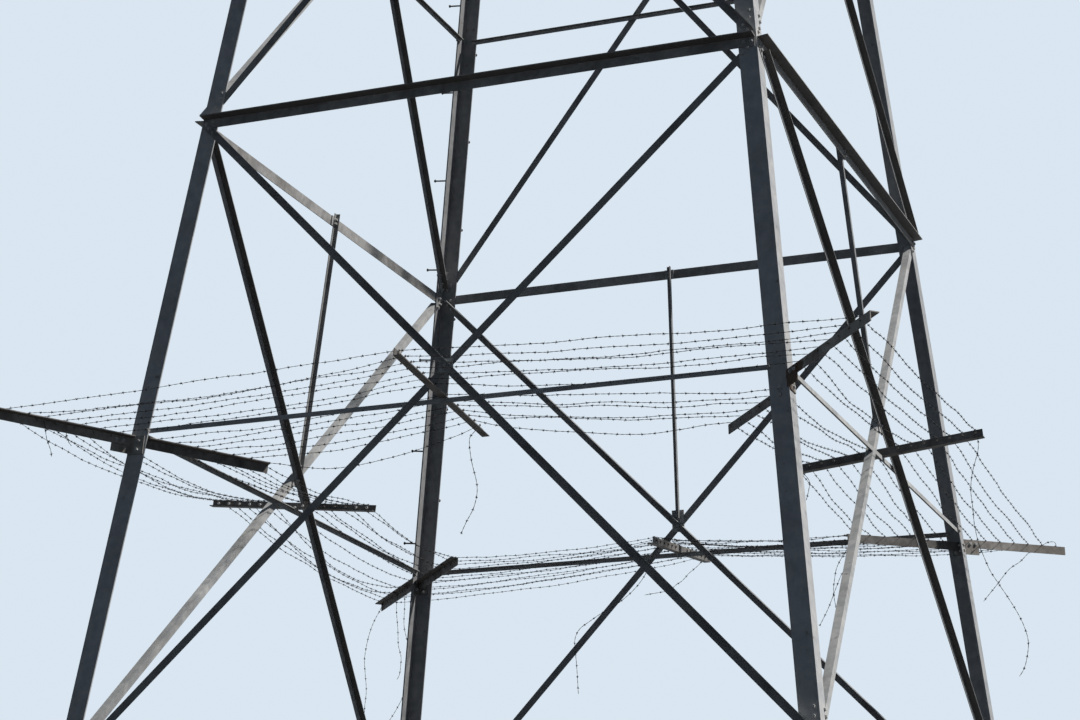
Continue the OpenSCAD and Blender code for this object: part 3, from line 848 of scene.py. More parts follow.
@dataclass
class BodyBolts(BoltSet):
    """Bolts of the body: bracing, crossings, girts, hangers, light horizontals, splices and feet.

    Rows are heights up the face from the joint, and columns distances in from the heel. The bolts
    over a node are pairs of both, for the leg's flange in its own face and in the next one.
    """

    seat: float = 0.014
    least_gap: float = 0.05
    light_in: float = 0.042
    hanger_low: tuple[float, ...] = (0.096, 0.130)
    hanger_high: tuple[float, ...] = (-0.024, 0.016)
    splice_rows: tuple[float, ...] = (-0.215, -0.14, -0.065, 0.065, 0.14, 0.215)
    splice_columns: tuple[float, ...] = (0.042, 0.095)
    splice_t: float = 0.010
    node_own: Pairs = ((0.193, 0.044), (0.262, 0.042))
    node_next: Pairs = ((0.208, 0.130), (0.260, 0.118))
    foot_rows: tuple[float, ...] = (0.09, 0.16, 0.23)
    foot_columns: tuple[float, ...] = (0.070, 0.115)
    foot_t: float = 0.012

    def panel(self, bm: BMesh, index: int, za: float, zb: float, upper: bool) -> None:
        """Bolts the two diagonals of a panel, and their crossing.

        Args:
            bm: mesh that takes the bolts.
            index: number of the face.
            za: height of the panel's foot.
            zb: height of its head.
            upper: whether it has the upper legs and the narrower diagonals.
        """
        t = self.tower
        drawing = t.face(index)
        flange, leg_t = (t.upper_brace, t.upper_leg_t) if upper else (t.brace, t.leg_t)
        rise = (t.up(zb) - t.up(za)) / (t.half(za) + t.half(zb))
        gap = max(self.least_gap, leg_t + self.seat + flange / 2 * rise / math.hypot(1, rise))
        low = (t.half(za) - gap, t.up(za) + gap * rise)
        high = (t.half(zb) - gap, t.up(zb) - gap * rise)
        self.bar(bm, drawing, low, (-high[0], high[1]), t.brace_t, -leg_t)
        self.bar(bm, drawing, (-low[0], low[1]), high, 0.0, -leg_t - t.brace_t)
        middle = t.up(self.crossing(za, zb))
        self.bolt.fit(bm, drawing, 0.0, middle, t.brace_t, -leg_t - t.brace_t)

    def crossing(self, za: float, zb: float) -> float:
        """Height at which the diagonals of a panel from za to zb cross."""
        t = self.tower
        return za + (zb - za) * t.half(za) / (t.half(za) + t.half(zb))

    def hanger(self, bm: BMesh, index: int) -> None:
        """Bolts a hanger to the girt's plate and to the crossing plate.

        Args:
            bm: mesh that takes the bolts.
            index: number of the face.
        """
        t = self.tower
        foot, head = t.up(self.crossing(t.low_z, t.node_z)), t.up(t.girt_z)
        for at, rows, out in ((foot, self.hanger_low, 0.0), (head, self.hanger_high, t.girt_t)):
            for row in rows:
                self.bolt.fit(bm, t.face(index), 0.0, at + row, out, -t.leg_t - t.light_t)

    def splice(self, bm: BMesh, index: int) -> None:
        """Bolts the two splice plates that a face has, twelve bolts each.

        Args:
            bm: mesh that takes the bolts.
            index: number of the face.
        """
        t = self.tower
        lean = t.batter * math.cos(t.tilt)
        v = t.up(t.splice_z)
        for side in (-1, 1):
            for row in self.splice_rows:
                for column in self.splice_columns:
                    u = side * (t.half(t.splice_z) - column - lean * row)
                    self.bolt.fit(bm, t.face(index), u, v + row, self.splice_t, -t.leg_t)

    def node(self, bm: BMesh, index: int) -> None:
        """Bolts above the two lower nodes of a leg, on both its flanges.

        Args:
            bm: mesh that takes the bolts.
            index: number of the leg.
        """
        t = self.tower
        flanges = ((self.node_own, t.face(index), 1), (self.node_next, t.face(index + 1), -1))
        for bolts, drawing, side in flanges:
            for level in (t.low_z, t.node_z):
                for row, column in bolts:
                    z = level + row
                    self.bolt.fit(bm, drawing, side * (t.half(z) - column), t.up(z), 0.0, -t.leg_t)

    def foot(self, bm: BMesh, index: int) -> None:
        """Bolts the upstands of the base plates to the legs.

        Args:
            bm: mesh that takes the bolts.
            index: number of the face.
        """
        t = self.tower
        for side in (-1, 1):
            for v in self.foot_rows:
                for column in self.foot_columns:
                    u = side * (t.half(v) - column)
                    self.bolt.fit(bm, t.face(index), u, v, self.foot_t, -t.leg_t)

    def build(self) -> BMesh:
        """Bolts every face.

        Returns:
            The bolts of the body.
        """
        t = self.tower
        bm = bmesh.new()
        levels = (t.foot_z, t.low_z, t.node_z, t.second_z, t.third_z, t.waist_z)
        girts = ((t.girt_z, t.leg_t), (t.waist_z - t.girt / 2, t.upper_leg_t))
        for index in FACES:
            drawing = t.face(index)
            for za, zb in zip(levels, levels[1:]):
                self.panel(bm, index, za, zb, za > t.node_z)
            for z, leg_t in girts:
                self.level(bm, drawing, t.half(z) - self.seat, t.up(z), t.girt_t, -leg_t, 2)
            for z in (t.guard_z, t.light_z):
                half = t.half(z) - t.leg + self.light_in
                self.level(bm, drawing, half, t.up(z), 0.0, -t.leg_t - t.light_t, 1)
            if index != Face.FRONT.value:
                self.hanger(bm, index)
            self.splice(bm, index)
            self.node(bm, index)
            self.foot(bm, index)
        return bm


@dataclass
class GuardBolts(BoltSet):
    """Bolts of the guard arms and their cleats.

    Drops run down from the top line of an arm at the heel, web_row runs out along the arm, and
    outer_in and inner_in are how far in from the heel a cleat's bolts stand.
    """

    outer_drops: tuple[float, ...] = (0.045, 0.120)
    outer_in: float = 0.080
    inner_drops: tuple[float, ...] = (0.035, 0.085)
    inner_in: float = 0.070
    inner_cleat_h: float = 0.116
    web_row: tuple[float, ...] = (0.060, 0.115)
    web_drop: float = 0.040
    web_out: float = 0.012
    web_back: float = -0.004
    mid_across: float = 0.008
    mid_in: float = 0.024

    def corner(self, bm: BMesh, index: int) -> None:
        """Bolts both arms of a leg, and the cleats that they stand in.

        Args:
            bm: mesh that takes the bolts.
            index: number of the leg.
        """
        t = self.tower
        next_face = t.face(index + 1)
        outer_v, inner_v = t.up(t.heel_z(index, True)), t.up(t.heel_z(index, False))
        for drop in self.outer_drops:
            v = outer_v - drop
            under = t.cleat_t if inner_v - self.inner_cleat_h < v < inner_v else 0.0
            u = -t.half(v) + self.outer_in
            self.bolt.fit(bm, next_face, u, v, t.cleat_t, -t.leg_t - under)
        for drop in self.inner_drops:
            v = inner_v - drop
            u = t.half(v) - self.inner_in
            self.bolt.fit(bm, t.face(index), u, v, 0.0, -t.leg_t - t.cleat_t)
        across = t.corner(index, True) @ LAID
        for x in self.web_row:
            self.bolt.fit(bm, across, x, -self.web_drop, self.web_out, self.web_back)

    def middle(self, bm: BMesh, index: int) -> None:
        """Bolts a mid arm down to the light horizontal under it.

        Args:
            bm: mesh that takes the bolts.
            index: number of the face.
        """
        t = self.tower
        foot = Matrix.Translation((0, t.mid_v - t.arm, 0))
        upward = t.face(index) @ foot @ Matrix.Rotation(-math.pi / 2, 4, "X")
        inward = t.leg_t + self.mid_in
        self.bolt.fit(bm, upward, self.mid_across, inward, t.arm_t, -t.light_t)

    def build(self) -> BMesh:
        """Bolts every arm.

        Returns:
            The bolts of the guard.
        """
        bm = bmesh.new()
        for index in FACES:
            self.corner(bm, index)
            self.middle(bm, index)
        return bm


@dataclass
class CageBolts(BoltSet):
    """Smaller bolts of the cage, the crossarms and the peak.

    A lace of a crossarm is its place along the chord and along the tie, both as a share of their
    length, and its roll in degrees.
    """

    from_end: float = 0.024
    pitch: float = 0.040
    bar_t: float = 0.005
    plate_t: float = 0.006
    lace_in: float = 0.045
    lace_low: float = 0.110
    lace_high: float = 0.030
    ring_up: float = 0.030
    ring_in: float = 0.004
    side_ring_in: float = 0.060
    peak_foot: float = 0.06
    peak_up: float = 0.04
    peak_share: float = 0.55
    peak_in: float = 0.040
    peak_ring_up: float = 0.09
    peak_ring_in: float = 0.012
    laces: tuple[tuple[float, float, float], ...] = (
        (0.32, 0.32, 0), (0.62, 0.62, 0), (0.05, 0.285, 90), (0.355, 0.585, 90),
    )
    lace_foot: float = 0.010
    lace_head: float = 0.044
    lace_out: float = 0.002
    lace_ends: tuple[float, float] = (0.036, 0.026)
    lace_web: float = 0.024
    lace_t: float = 0.007
    chord_in: float = 0.004
    chord_t: float = 0.006
    tie_up: float = 0.020
    tip_half: float = 0.010
    tip_in: float = 0.045
    tip_tie_up: float = 0.055

    def cage(self, bm: BMesh, index: int) -> None:
        """Bolts the crossed pairs and the rings of one side of the cage.

        Args:
            bm: mesh that takes the bolts.
            index: number of the face.
        """
        t = self.tower
        drawing = t.cage_face(index)
        rings = 2 * len(t.arm_reach)
        nuts = -t.cage_leg_t - self.bar_t
        for n in range(rings - 1):
            za, zb = t.ring_z(n) + self.lace_low, t.ring_z(n + 1) - self.lace_high
            ha, hb = t.half_cage(za), t.half_cage(zb)
            rise = (t.up_cage(zb) - t.up_cage(za)) / (ha + hb) * self.lace_in
            low = (ha - self.lace_in, t.up_cage(za) + rise)
            high = (hb - self.lace_in, t.up_cage(zb) - rise)
            self.bar(bm, drawing, low, (-high[0], high[1]), self.bar_t, -t.cage_leg_t, 1)
            self.bar(bm, drawing, (-low[0], low[1]), high, 0.0, nuts, 1)
        side = index % 2 == 1
        for n in range(rings):
            z = t.ring_z(n) + self.ring_up
            half = t.half_cage(z) - (self.side_ring_in if side else self.ring_in)
            out, back = (0.0, nuts) if side else (self.bar_t, -t.cage_leg_t)
            self.level(bm, drawing, half, t.up_cage(z), out, back, 1)

    def peak(self, bm: BMesh, index: int) -> None:
        """Bolts the bars of one side of the peak.

        Args:
            bm: mesh that takes the bolts.
            index: number of the face.
        """
        t = self.tower
        lean = t.peak_lean
        drawing = place_face(index, t.half_ground_peak, lean)
        c = math.cos(math.atan(lean))
        za, zb = t.cage_top + self.peak_foot, t.cage_top + t.peak_h * self.peak_share
        zc = zb + self.peak_ring_up
        ha = t.half_ground_peak - lean * za - self.lace_in
        hb = t.half_ground_peak - lean * zb - self.peak_in
        hc = t.half_ground_peak - lean * zc - self.peak_ring_in
        va, vb = za / c + self.peak_up, zb / c
        self.bar(bm, drawing, (ha, va), (-hb, vb), self.bar_t, -self.plate_t, 1)
        self.bar(bm, drawing, (-ha, va), (hb, vb), 0.0, -self.plate_t - self.bar_t, 1)
        self.level(bm, drawing, hc, zc / c, self.bar_t, -self.plate_t, 1)

    def crossarm(self, bm: BMesh, n: int) -> None:
        """Bolts the bars of the front half of a crossarm on the right, and its tip plate.

        Args:
            bm: mesh that takes the bolts.
            n: number of the crossarm from below.
        """
        t = self.tower
        z = t.waist_z + n * t.arm_pitch
        reach = t.arm_reach[n]
        h_low, h_top = t.half_cage(z), t.half_cage(z + t.arm_h)
        over = t.chord_up + t.chord
        chord_root = Vector((h_low, -h_low + self.chord_in, z + t.chord_up))
        chord_tip = Vector((reach, -self.chord_t, z + t.chord_up))
        tie_root = Vector((h_top, -h_top + self.chord_in, z + t.arm_h))
        tie_tip = Vector((reach, -self.chord_t, z + over + self.tie_up))
        for low, high, roll in self.laces:
            p = chord_root.lerp(chord_tip, low) + Vector((0, self.lace_out, self.lace_foot))
            q = tie_root.lerp(tie_tip, high) + Vector((0, self.lace_out, self.lace_head))
            self.lace(bm, p, q, roll)
        x = self.tip_in
        slope = (h_low - self.tip_half) / (reach - h_low)
        fall = (t.arm_h - over - self.tie_up) / (reach - h_top)
        for up in (t.chord_up + x, over + self.tip_tie_up + fall * x):
            drawing = Matrix.Translation((reach - x, 0, z + up)) @ LAID
            self.bolt.fit(bm, drawing, 0.0, 0.0, self.chord_t + slope * x, 0.0)

    def lace(self, bm: BMesh, p: Vector, q: Vector, roll: float) -> None:
        """Bolts both ends of a bar on the sloping side of a crossarm.

        Args:
            bm: mesh that takes the bolts.
            p: the bar's foot.
            q: its head.
            roll: its turn about its own length in degrees.
        """
        d = q - p
        turn = (
            Matrix.Rotation(math.atan2(d.y, d.x), 4, "Z")
            @ Matrix.Rotation(-math.atan2(d.z, math.hypot(d.x, d.y)), 4, "Y")
            @ Matrix.Rotation(math.radians(roll), 4, "X")
        )
        for s in (self.lace_ends[0], d.length - self.lace_ends[1]):
            at = Matrix.Translation((s, self.lace_web, self.lace_t))
            stamp(bm, self.bolt.head, Matrix.Translation(p) @ turn @ at)

    def build(self) -> BMesh:
        """Bolts the cage and the peak, and each half crossarm as a mirror image of the first.

        Returns:
            The bolts above the waist.
        """
        bm = bmesh.new()
        for index in FACES:
            self.cage(bm, index)
            self.peak(bm, index)
        for sx, sy in ((-1, -1), (-1, 1), (1, -1), (1, 1)):
            for n in range(len(self.tower.arm_reach)):
                half = bmesh.new()
                self.crossarm(half, n)
                mirror = Matrix.Diagonal((sx, sy, 1, 1))
                bmesh.ops.transform(half, matrix=mirror, verts=half.verts)
                if sx * sy < 0:
                    bmesh.ops.reverse_faces(half, faces=half.faces)
                stamp(bm, template_of("crossarm_bolts", half), Matrix.Identity(4))
        return bm


@dataclass
class StepBolts:
    """Step bolts up leg B, in turn on its two flanges, from above the guard to the waist."""

    tower: Tower
    lowest: float = 7.376
    under_waist: float = 0.3
    spacing: float = 0.457
    in_flange: float = 0.55
    length: float = 0.155
    radius: float = 0.008
    knob: float = 0.016
    knob_taper: float = 0.8
    knob_low: float = 0.012
    knob_mid: float = 0.008
    nut: float = 0.0145
    nut_h: float = 0.013
    leg_index: int = 2

    def template(self) -> Mesh:
        """Makes one step bolt with its round head, and its nut on the leg.

        Returns:
            The template, along +z.
        """
        bm = bmesh.new()
        low, middle, rim = self.length - self.knob_low, self.length - self.knob_mid, self.knob
        prism(bm, 10, self.radius, 0, self.length)
        prism(bm, 12, rim * self.knob_taper, low, middle, rim)
        prism(bm, 12, rim, middle, self.length, rim * self.knob_taper)
        prism(bm, 6, self.nut, 0, self.nut_h)
        return template_of("step_bolt", bm)

    def build(self) -> BMesh:
        """Places the step bolts.

        Returns:
            The step bolts.
        """
        t = self.tower
        bolt = self.template()
        bm = bmesh.new()
        steps = int((t.waist_z - self.under_waist - self.lowest) / self.spacing)
        for n in range(steps):
            z = self.lowest + n * self.spacing
            flange = t.leg if z < t.splice_z else t.upper_leg
            u = t.half(z) - flange * self.in_flange
            face, u = (self.leg_index + 1, -u) if n % 2 == 0 else (self.leg_index, u)
            stamp(bm, bolt, t.face(face) @ Matrix.Translation((u, t.up(z), 0)))
        return bm


@dataclass
class Anchors:
    """Anchor bolts with their nuts on the four base plates."""

    tower: Tower
    nut: Fastener
    plate_t: float = 0.025
    gap: float = 0.300
    in_flange: float = 0.3

    def build(self) -> BMesh:
        """Puts four anchor nuts on each base plate.

        Returns:
            The nuts with the ends of their bolts.
        """
        t = self.tower
        bm = bmesh.new()
        c = t.half(self.plate_t) - t.leg * self.in_flange
        side = self.gap / 2
        for index in FACES:
            for x, y in ((-side, -side), (-side, side), (side, -side), (side, side)):
                at = Matrix.Translation((c + x, -c + y, self.plate_t))
                stamp(bm, self.nut.nut, quarter(index) @ at)
        return bm


@dataclass(frozen=True)
class LooseEnd:
    """A parted strand: where an arm still holds it, and the bends of its hanging end.

    way is 0 for the mid arm, 1 or -1 for the corner arm at the face's right or left end.
    bends are (across, up) from the held point in centimetres, across being level and square to
    the view.
    """

    way: int
    place: float
    bends: tuple[tuple[int, int], ...]


@dataclass
class BarbedFace:
    """The barbed strands over one side of the tower.

    Large and small bends run along a strand as so many waves to the metre, each with its share
    of kink. The seeds set them apart from strand to strand, from end to end, from face to face
    and the small from the large. A barb is a wrap round the strand and two wires through it,
    each with its turn about the strand and its place along it.
    """

    tower: Tower
    side: Face
    slack: tuple[float, ...]
    parted: tuple[tuple[int, int], ...] = ()
    loose: tuple[LooseEnd, ...] = ()
    wire_r: float = 0.0015
    twist: float = 0.090
    twist_steps: int = 5
    sample: float = 0.05
    kink: float = 0.010
    large_waves: float = 1.7
    large_share: float = 2.2
    small_waves: float = 6.5
    small_share: float = 0.45
    firm_end: float = 3.0
    strand_seed: float = 3.7
    way_seed: float = 1.9
    face_seed: float = 5.1
    small_seed: float = 40.0
    uneven: tuple[float, float] = (0.75, 1.25)
    barb_gap: float = 0.1025
    barb_turn: float = 1.9
    barb_half: float = 0.0135
    barb_r: float = 0.0017
    barb_lean: float = 78.0
    barb_wires: Pairs = ((0.4, -0.004), (1.9, 0.004))
    wrap_half: float = 0.0065
    wrap_share: float = 3.6
    across: tuple[float, float, float] = (0.9254, 0.3791, 0.0)

    def held(self, way: int, place: float) -> Vector:
        """Finds where an arm holds a strand.

        Args:
            way: 0 for the mid arm, 1 or -1 for the arm at the right or left end.
            place: the strand's place.

        Returns:
            The point in the tower's frame.
        """
        lift = 2 * self.wire_r
        if way == 0:
            return self.tower.on_middle(self.side.value, place, lift)
        return self.tower.on_corner(self.side.value, way, place, lift)

    def path(self, start: Vector, end: Vector, sag: float, seed: float) -> list[Vector]:
        """Draws a slack strand between two arms, with the set bends of old wire.

        Args:
            start: where the first arm holds it.
            end: where the second arm holds it.
            sag: how far it hangs in the middle.
            seed: number that makes its bends its own.

        Returns:
            The points of its centre line.
        """
        length = (end - start).length
        steps = max(8, int(length / self.sample))
        points = []
        for n in range(steps + 1):
            s = n / steps
            firm = min(1.0, math.sin(math.pi * s) * self.firm_end)
            at = Vector((s * length * self.large_waves, seed, self.side.value * self.face_seed))
            large = noise.noise_vector(at) * (self.kink * self.large_share * firm)
            at = Vector((s * length * self.small_waves, seed + self.small_seed, 0.0))
            small = noise.noise_vector(at) * (self.kink * self.small_share * firm)
            p = start.lerp(end, s) + large + small
            p.z -= 4 * sag * s * (1 - s)
            points.append(p)
        return points

    def lines(self) -> list[list[Vector]]:
        """Draws every strand and loose end of this side.

        Returns:
            Their centre lines in the tower's frame.
        """
        count = self.tower.strand_n
        found = []
        for n, sag in enumerate(self.slack):
            place = n + 1 if n < count else count - n - 1
            for way in (-1, 1):
                if (place, way) in self.parted:
                    continue
                own = sag * self.uneven[(n + (way > 0)) % 2]
                seed = n * self.strand_seed + way * self.way_seed
                found.append(self.path(self.held(way, place), self.held(0, place), own, seed))
        across = Vector(self.across)
        for end in self.loose:
            start = self.held(end.way, end.place)
            bends = [start + across * (x / 100) + Vector((0, 0, z / 100)) for x, z in end.bends]
            found.append(smooth_line([start, *bends]))
        return found

    def build_wires(self, name: str, material: Material) -> bpy.types.Object:
        """Makes the two twisted wires of each strand as one mesh with its barbs.

        Args:
            name: name of the piece.
            material: its finish.

        Returns:
            The finished piece.
        """
        curve = bpy.data.curves.new(name, "CURVE")
        curve.dimensions = "3D"
        curve.bevel_depth = self.wire_r
        curve.bevel_resolution = 0
        curve.use_fill_caps = True
        lines = self.lines()
        for line in lines:
            for phase in (0.0, math.pi):
                add_spline(curve, self.helix(line, phase))
        holder = add_object(name, curve)
        tube = bpy.data.meshes.new_from_object(holder)
        bpy.data.objects.remove(holder)
        bm = bmesh.new()
        bm.from_mesh(tube)
        barb = self.barb()
        for line in lines:
            self.add_barbs(bm, barb, line)
        return save_piece(name, bm, material, Slot.WIRE)

    def helix(self, line: list[Vector], phase: float) -> list[Vector]:
        """Winds one of the two wires round a centre line.

        Args:
            line: points of the centre line.
            phase: angle at which the wire starts.

        Returns:
            The points of the wire.
        """
        points = []
        for p, forward, run in walk(line, self.twist / self.twist_steps):
            side = forward.cross(Vector((0, 0, 1))).normalized()
            rise = side.cross(forward)
            angle = phase + 2 * math.pi * run / self.twist
            points.append(p + (side * math.cos(angle) + rise * math.sin(angle)) * self.wire_r)
        return points

    def barb(self) -> Mesh:
        """Makes a barb of two short wires wound round the strand.

        Returns:
            The template, with the strand along z.
        """
        bm = bmesh.new()
        prism(bm, 6, self.wire_r * self.wrap_share, -self.wrap_half, self.wrap_half)
        lean = Matrix.Rotation(math.radians(self.barb_lean), 4, "X")
        for angle, shift in self.barb_wires:
            place = Matrix.Translation((0, 0, shift)) @ (Matrix.Rotation(angle, 4, "Z") @ lean)
            prism(bm, 3, self.barb_r, -self.barb_half, self.barb_half, place=place)
        return template_of("barb", bm)

    def add_barbs(self, bm: BMesh, barb: Mesh, line: list[Vector]) -> None:
        """Sets a barb at every barb gap along a line, but none at its start.

        Args:
            bm: mesh that takes the barbs.
            barb: the template.
            line: points of the centre line.
        """
        for n, (p, forward, _run) in enumerate(walk(line, self.barb_gap)):
            if n == 0:
                continue
            turn = forward.to_track_quat("Z", "Y").to_matrix().to_4x4()
            spin = Matrix.Rotation(n * self.barb_turn, 4, "Z")
            stamp(bm, barb, Matrix.Translation(p) @ turn @ spin)


def walk(line: list[Vector], step: float) -> Iterator[tuple[Vector, Vector, float]]:
    """Walks along a line in even steps.

    Args:
        line: the line's points.
        step: length of a step.

    Returns:
        Each point in turn, with the direction there and the distance run.
    """
    run, target = 0.0, 0.0
    for a, b in zip(line, line[1:]):
        length = (b - a).length
        forward = (b - a).normalized()
        while target <= run + length:
            yield a + forward * (target - run), forward, target
            target += step
        run += length


def smooth_line(points: list[Vector], steps: int = 8) -> list[Vector]:
    """Runs a smooth line through given points.

    Args:
        points: the points, at least two.
        steps: steps from point to point.

    Returns:
        The points of the smooth line.
    """
    padded = [points[0] * 2 - points[1], *points, points[-1] * 2 - points[-2]]
    found = []
    for a, b, c, d in zip(padded, padded[1:], padded[2:], padded[3:]):
        slope, bend, twist = c - a, 2 * a - 5 * b + 4 * c - d, 3 * b - a - 3 * c + d
        for s in (n / steps for n in range(steps)):
            found.append(0.5 * (2 * b + slope * s + bend * s * s + twist * s**3))
    found.append(points[-1])
    return found


def add_spline(curve: bpy.types.Curve, points: list[Vector]) -> None:
    """Adds an open poly spline.

    Args:
        curve: curve that takes it.
        points: its points.
    """
    spline = curve.splines.new("POLY")
    spline.points.add(len(points) - 1)
    for target, p in zip(spline.points, points):
        target.co = (*p, 1.0)


@dataclass
class StrandHooks:
    """Hook bolts that hold the strands on the guard arms.

    The places in bright_nuts are those of the newer nuts on the left mid arm. The corner arms of
    flush_corners have hooks that end flush, and off_the_arm has the (leg, place) of each strand
    that passes the end of a corner arm.
    """

    tower: Tower
    rod: float = 0.0035
    eye: float = 0.0075
    drop: float = 0.030
    lift: float = 0.003
    clear: float = 0.005
    tail: float = 0.016
    bend: float = 0.004
    rise: float = 0.014
    shoulder: float = 0.001
    crown: float = 0.007
    lip: float = 0.006
    washer: float = 0.0130
    washer_t: float = 0.002
    nut_r: float = 0.0110
    nut_h: float = 0.0125
    small_nut: float = 0.65
    bright_nuts: tuple[int, ...] = (7, 6, 5, 4, 3, -1, -6, -7)
    flush_corners: tuple[int, ...] = (1,)
    off_the_arm: tuple[tuple[int, int], ...] = ((0, -7),)

    def hook(self, flange_t: float, size: float = 1.0) -> Mesh:
        """Makes a hook beside an upright flange, round a strand that crosses over it along y.

        Args:
            flange_t: thickness of the flange, which stands under the origin along x.
            size: share of the full length of its threaded end, none where it ends flush.

        Returns:
            The template, with z up and the nut's end towards -y.
        """
        bm = bmesh.new()
        reach = flange_t / 2
        side = reach + self.rod + self.clear
        route = [
            (0, -reach - self.tail * size, -self.drop),
            (0, side - self.bend, -self.drop),
            (self.bend, side, self.bend - self.drop),
            (self.eye, side, self.rise - self.drop),
            (self.eye, side, self.shoulder),
            (self.eye / 2, side, self.crown),
            (-self.eye / 2, side, self.crown),
            (-self.eye, side, self.shoulder),
            (-self.eye, side, -self.lip),
        ]
        for a, b in zip(map(Vector, route), map(Vector, route[1:])):
            turn = (b - a).to_track_quat("Z", "Y").to_matrix().to_4x4()
            prism(bm, 5, self.rod, 0, (b - a).length, place=Matrix.Translation(a) @ turn)
        return template_of("strand_hook", bm)

    def nut(self, flange_t: float, size: float = 1.0) -> Mesh:
        """Makes the washer and the nut of a hook.

        Args:
            flange_t: thickness of the flange, on whose -y side they are.
            size: their size as a share of the full one.

        Returns:
            The template, placed as the hook's.
        """
        bm = bmesh.new()
        prism(bm, 10, self.washer * size, 0, self.washer_t)
        prism(bm, 6, self.nut_r * size, self.washer_t, self.nut_h * size)
        place = Matrix.Translation((0, -flange_t / 2, -self.drop)) @ LAID
        bmesh.ops.transform(bm, matrix=place, verts=bm.verts)
        return template_of("hook_nut", bm)

    def build(self) -> tuple[BMesh, BMesh, BMesh]:
        """Sets a hook where each strand crosses each arm.

        Returns:
            The hooks, the nuts as pale as their arm, and the newer nuts of the left mid arm.
        """
        t = self.tower
        upright, upright_nut = self.hook(t.arm_t), self.nut(t.arm_t)
        thick = self.hook(t.corner_arm_t, self.small_nut)
        thick_nut = self.nut(t.corner_arm_t, self.small_nut)
        flush = self.hook(t.corner_arm_t, 0.0)
        along_arm = Matrix(((0, 1, 0, 0), (0, 0, 1, 0), (1, 0, 0, 0), (0, 0, 0, 1)))
        dark, pale, bright = bmesh.new(), bmesh.new(), bmesh.new()
        for index in FACES:
            on_left = index == Face.LEFT.value
            turn = Matrix.Rotation(math.pi if on_left else 0.0, 4, "Z")
            for place in (*range(-t.strand_n, 0), *range(1, t.strand_n + 1)):
                top = Matrix.Translation((t.mid_u, t.mid_v + self.lift, t.middle_w(place)))
                at = t.face(index) @ top @ along_arm @ turn
                stamp(dark, upright, at)
                stamp(bright if on_left and place in self.bright_nuts else pale, upright_nut, at)
                if (index, place) in self.off_the_arm:
                    continue
                run = (t.strand_out(place) + t.strand_shift[index]) * math.sqrt(2)
                at = t.corner(index, place > 0) @ Matrix.Translation((run, 0, self.lift))
                if index in self.flush_corners:
                    stamp(dark, flush, at)
                else:
                    stamp(dark, thick, at)
                    stamp(pale, thick_nut, at)
        return dark, pale, bright


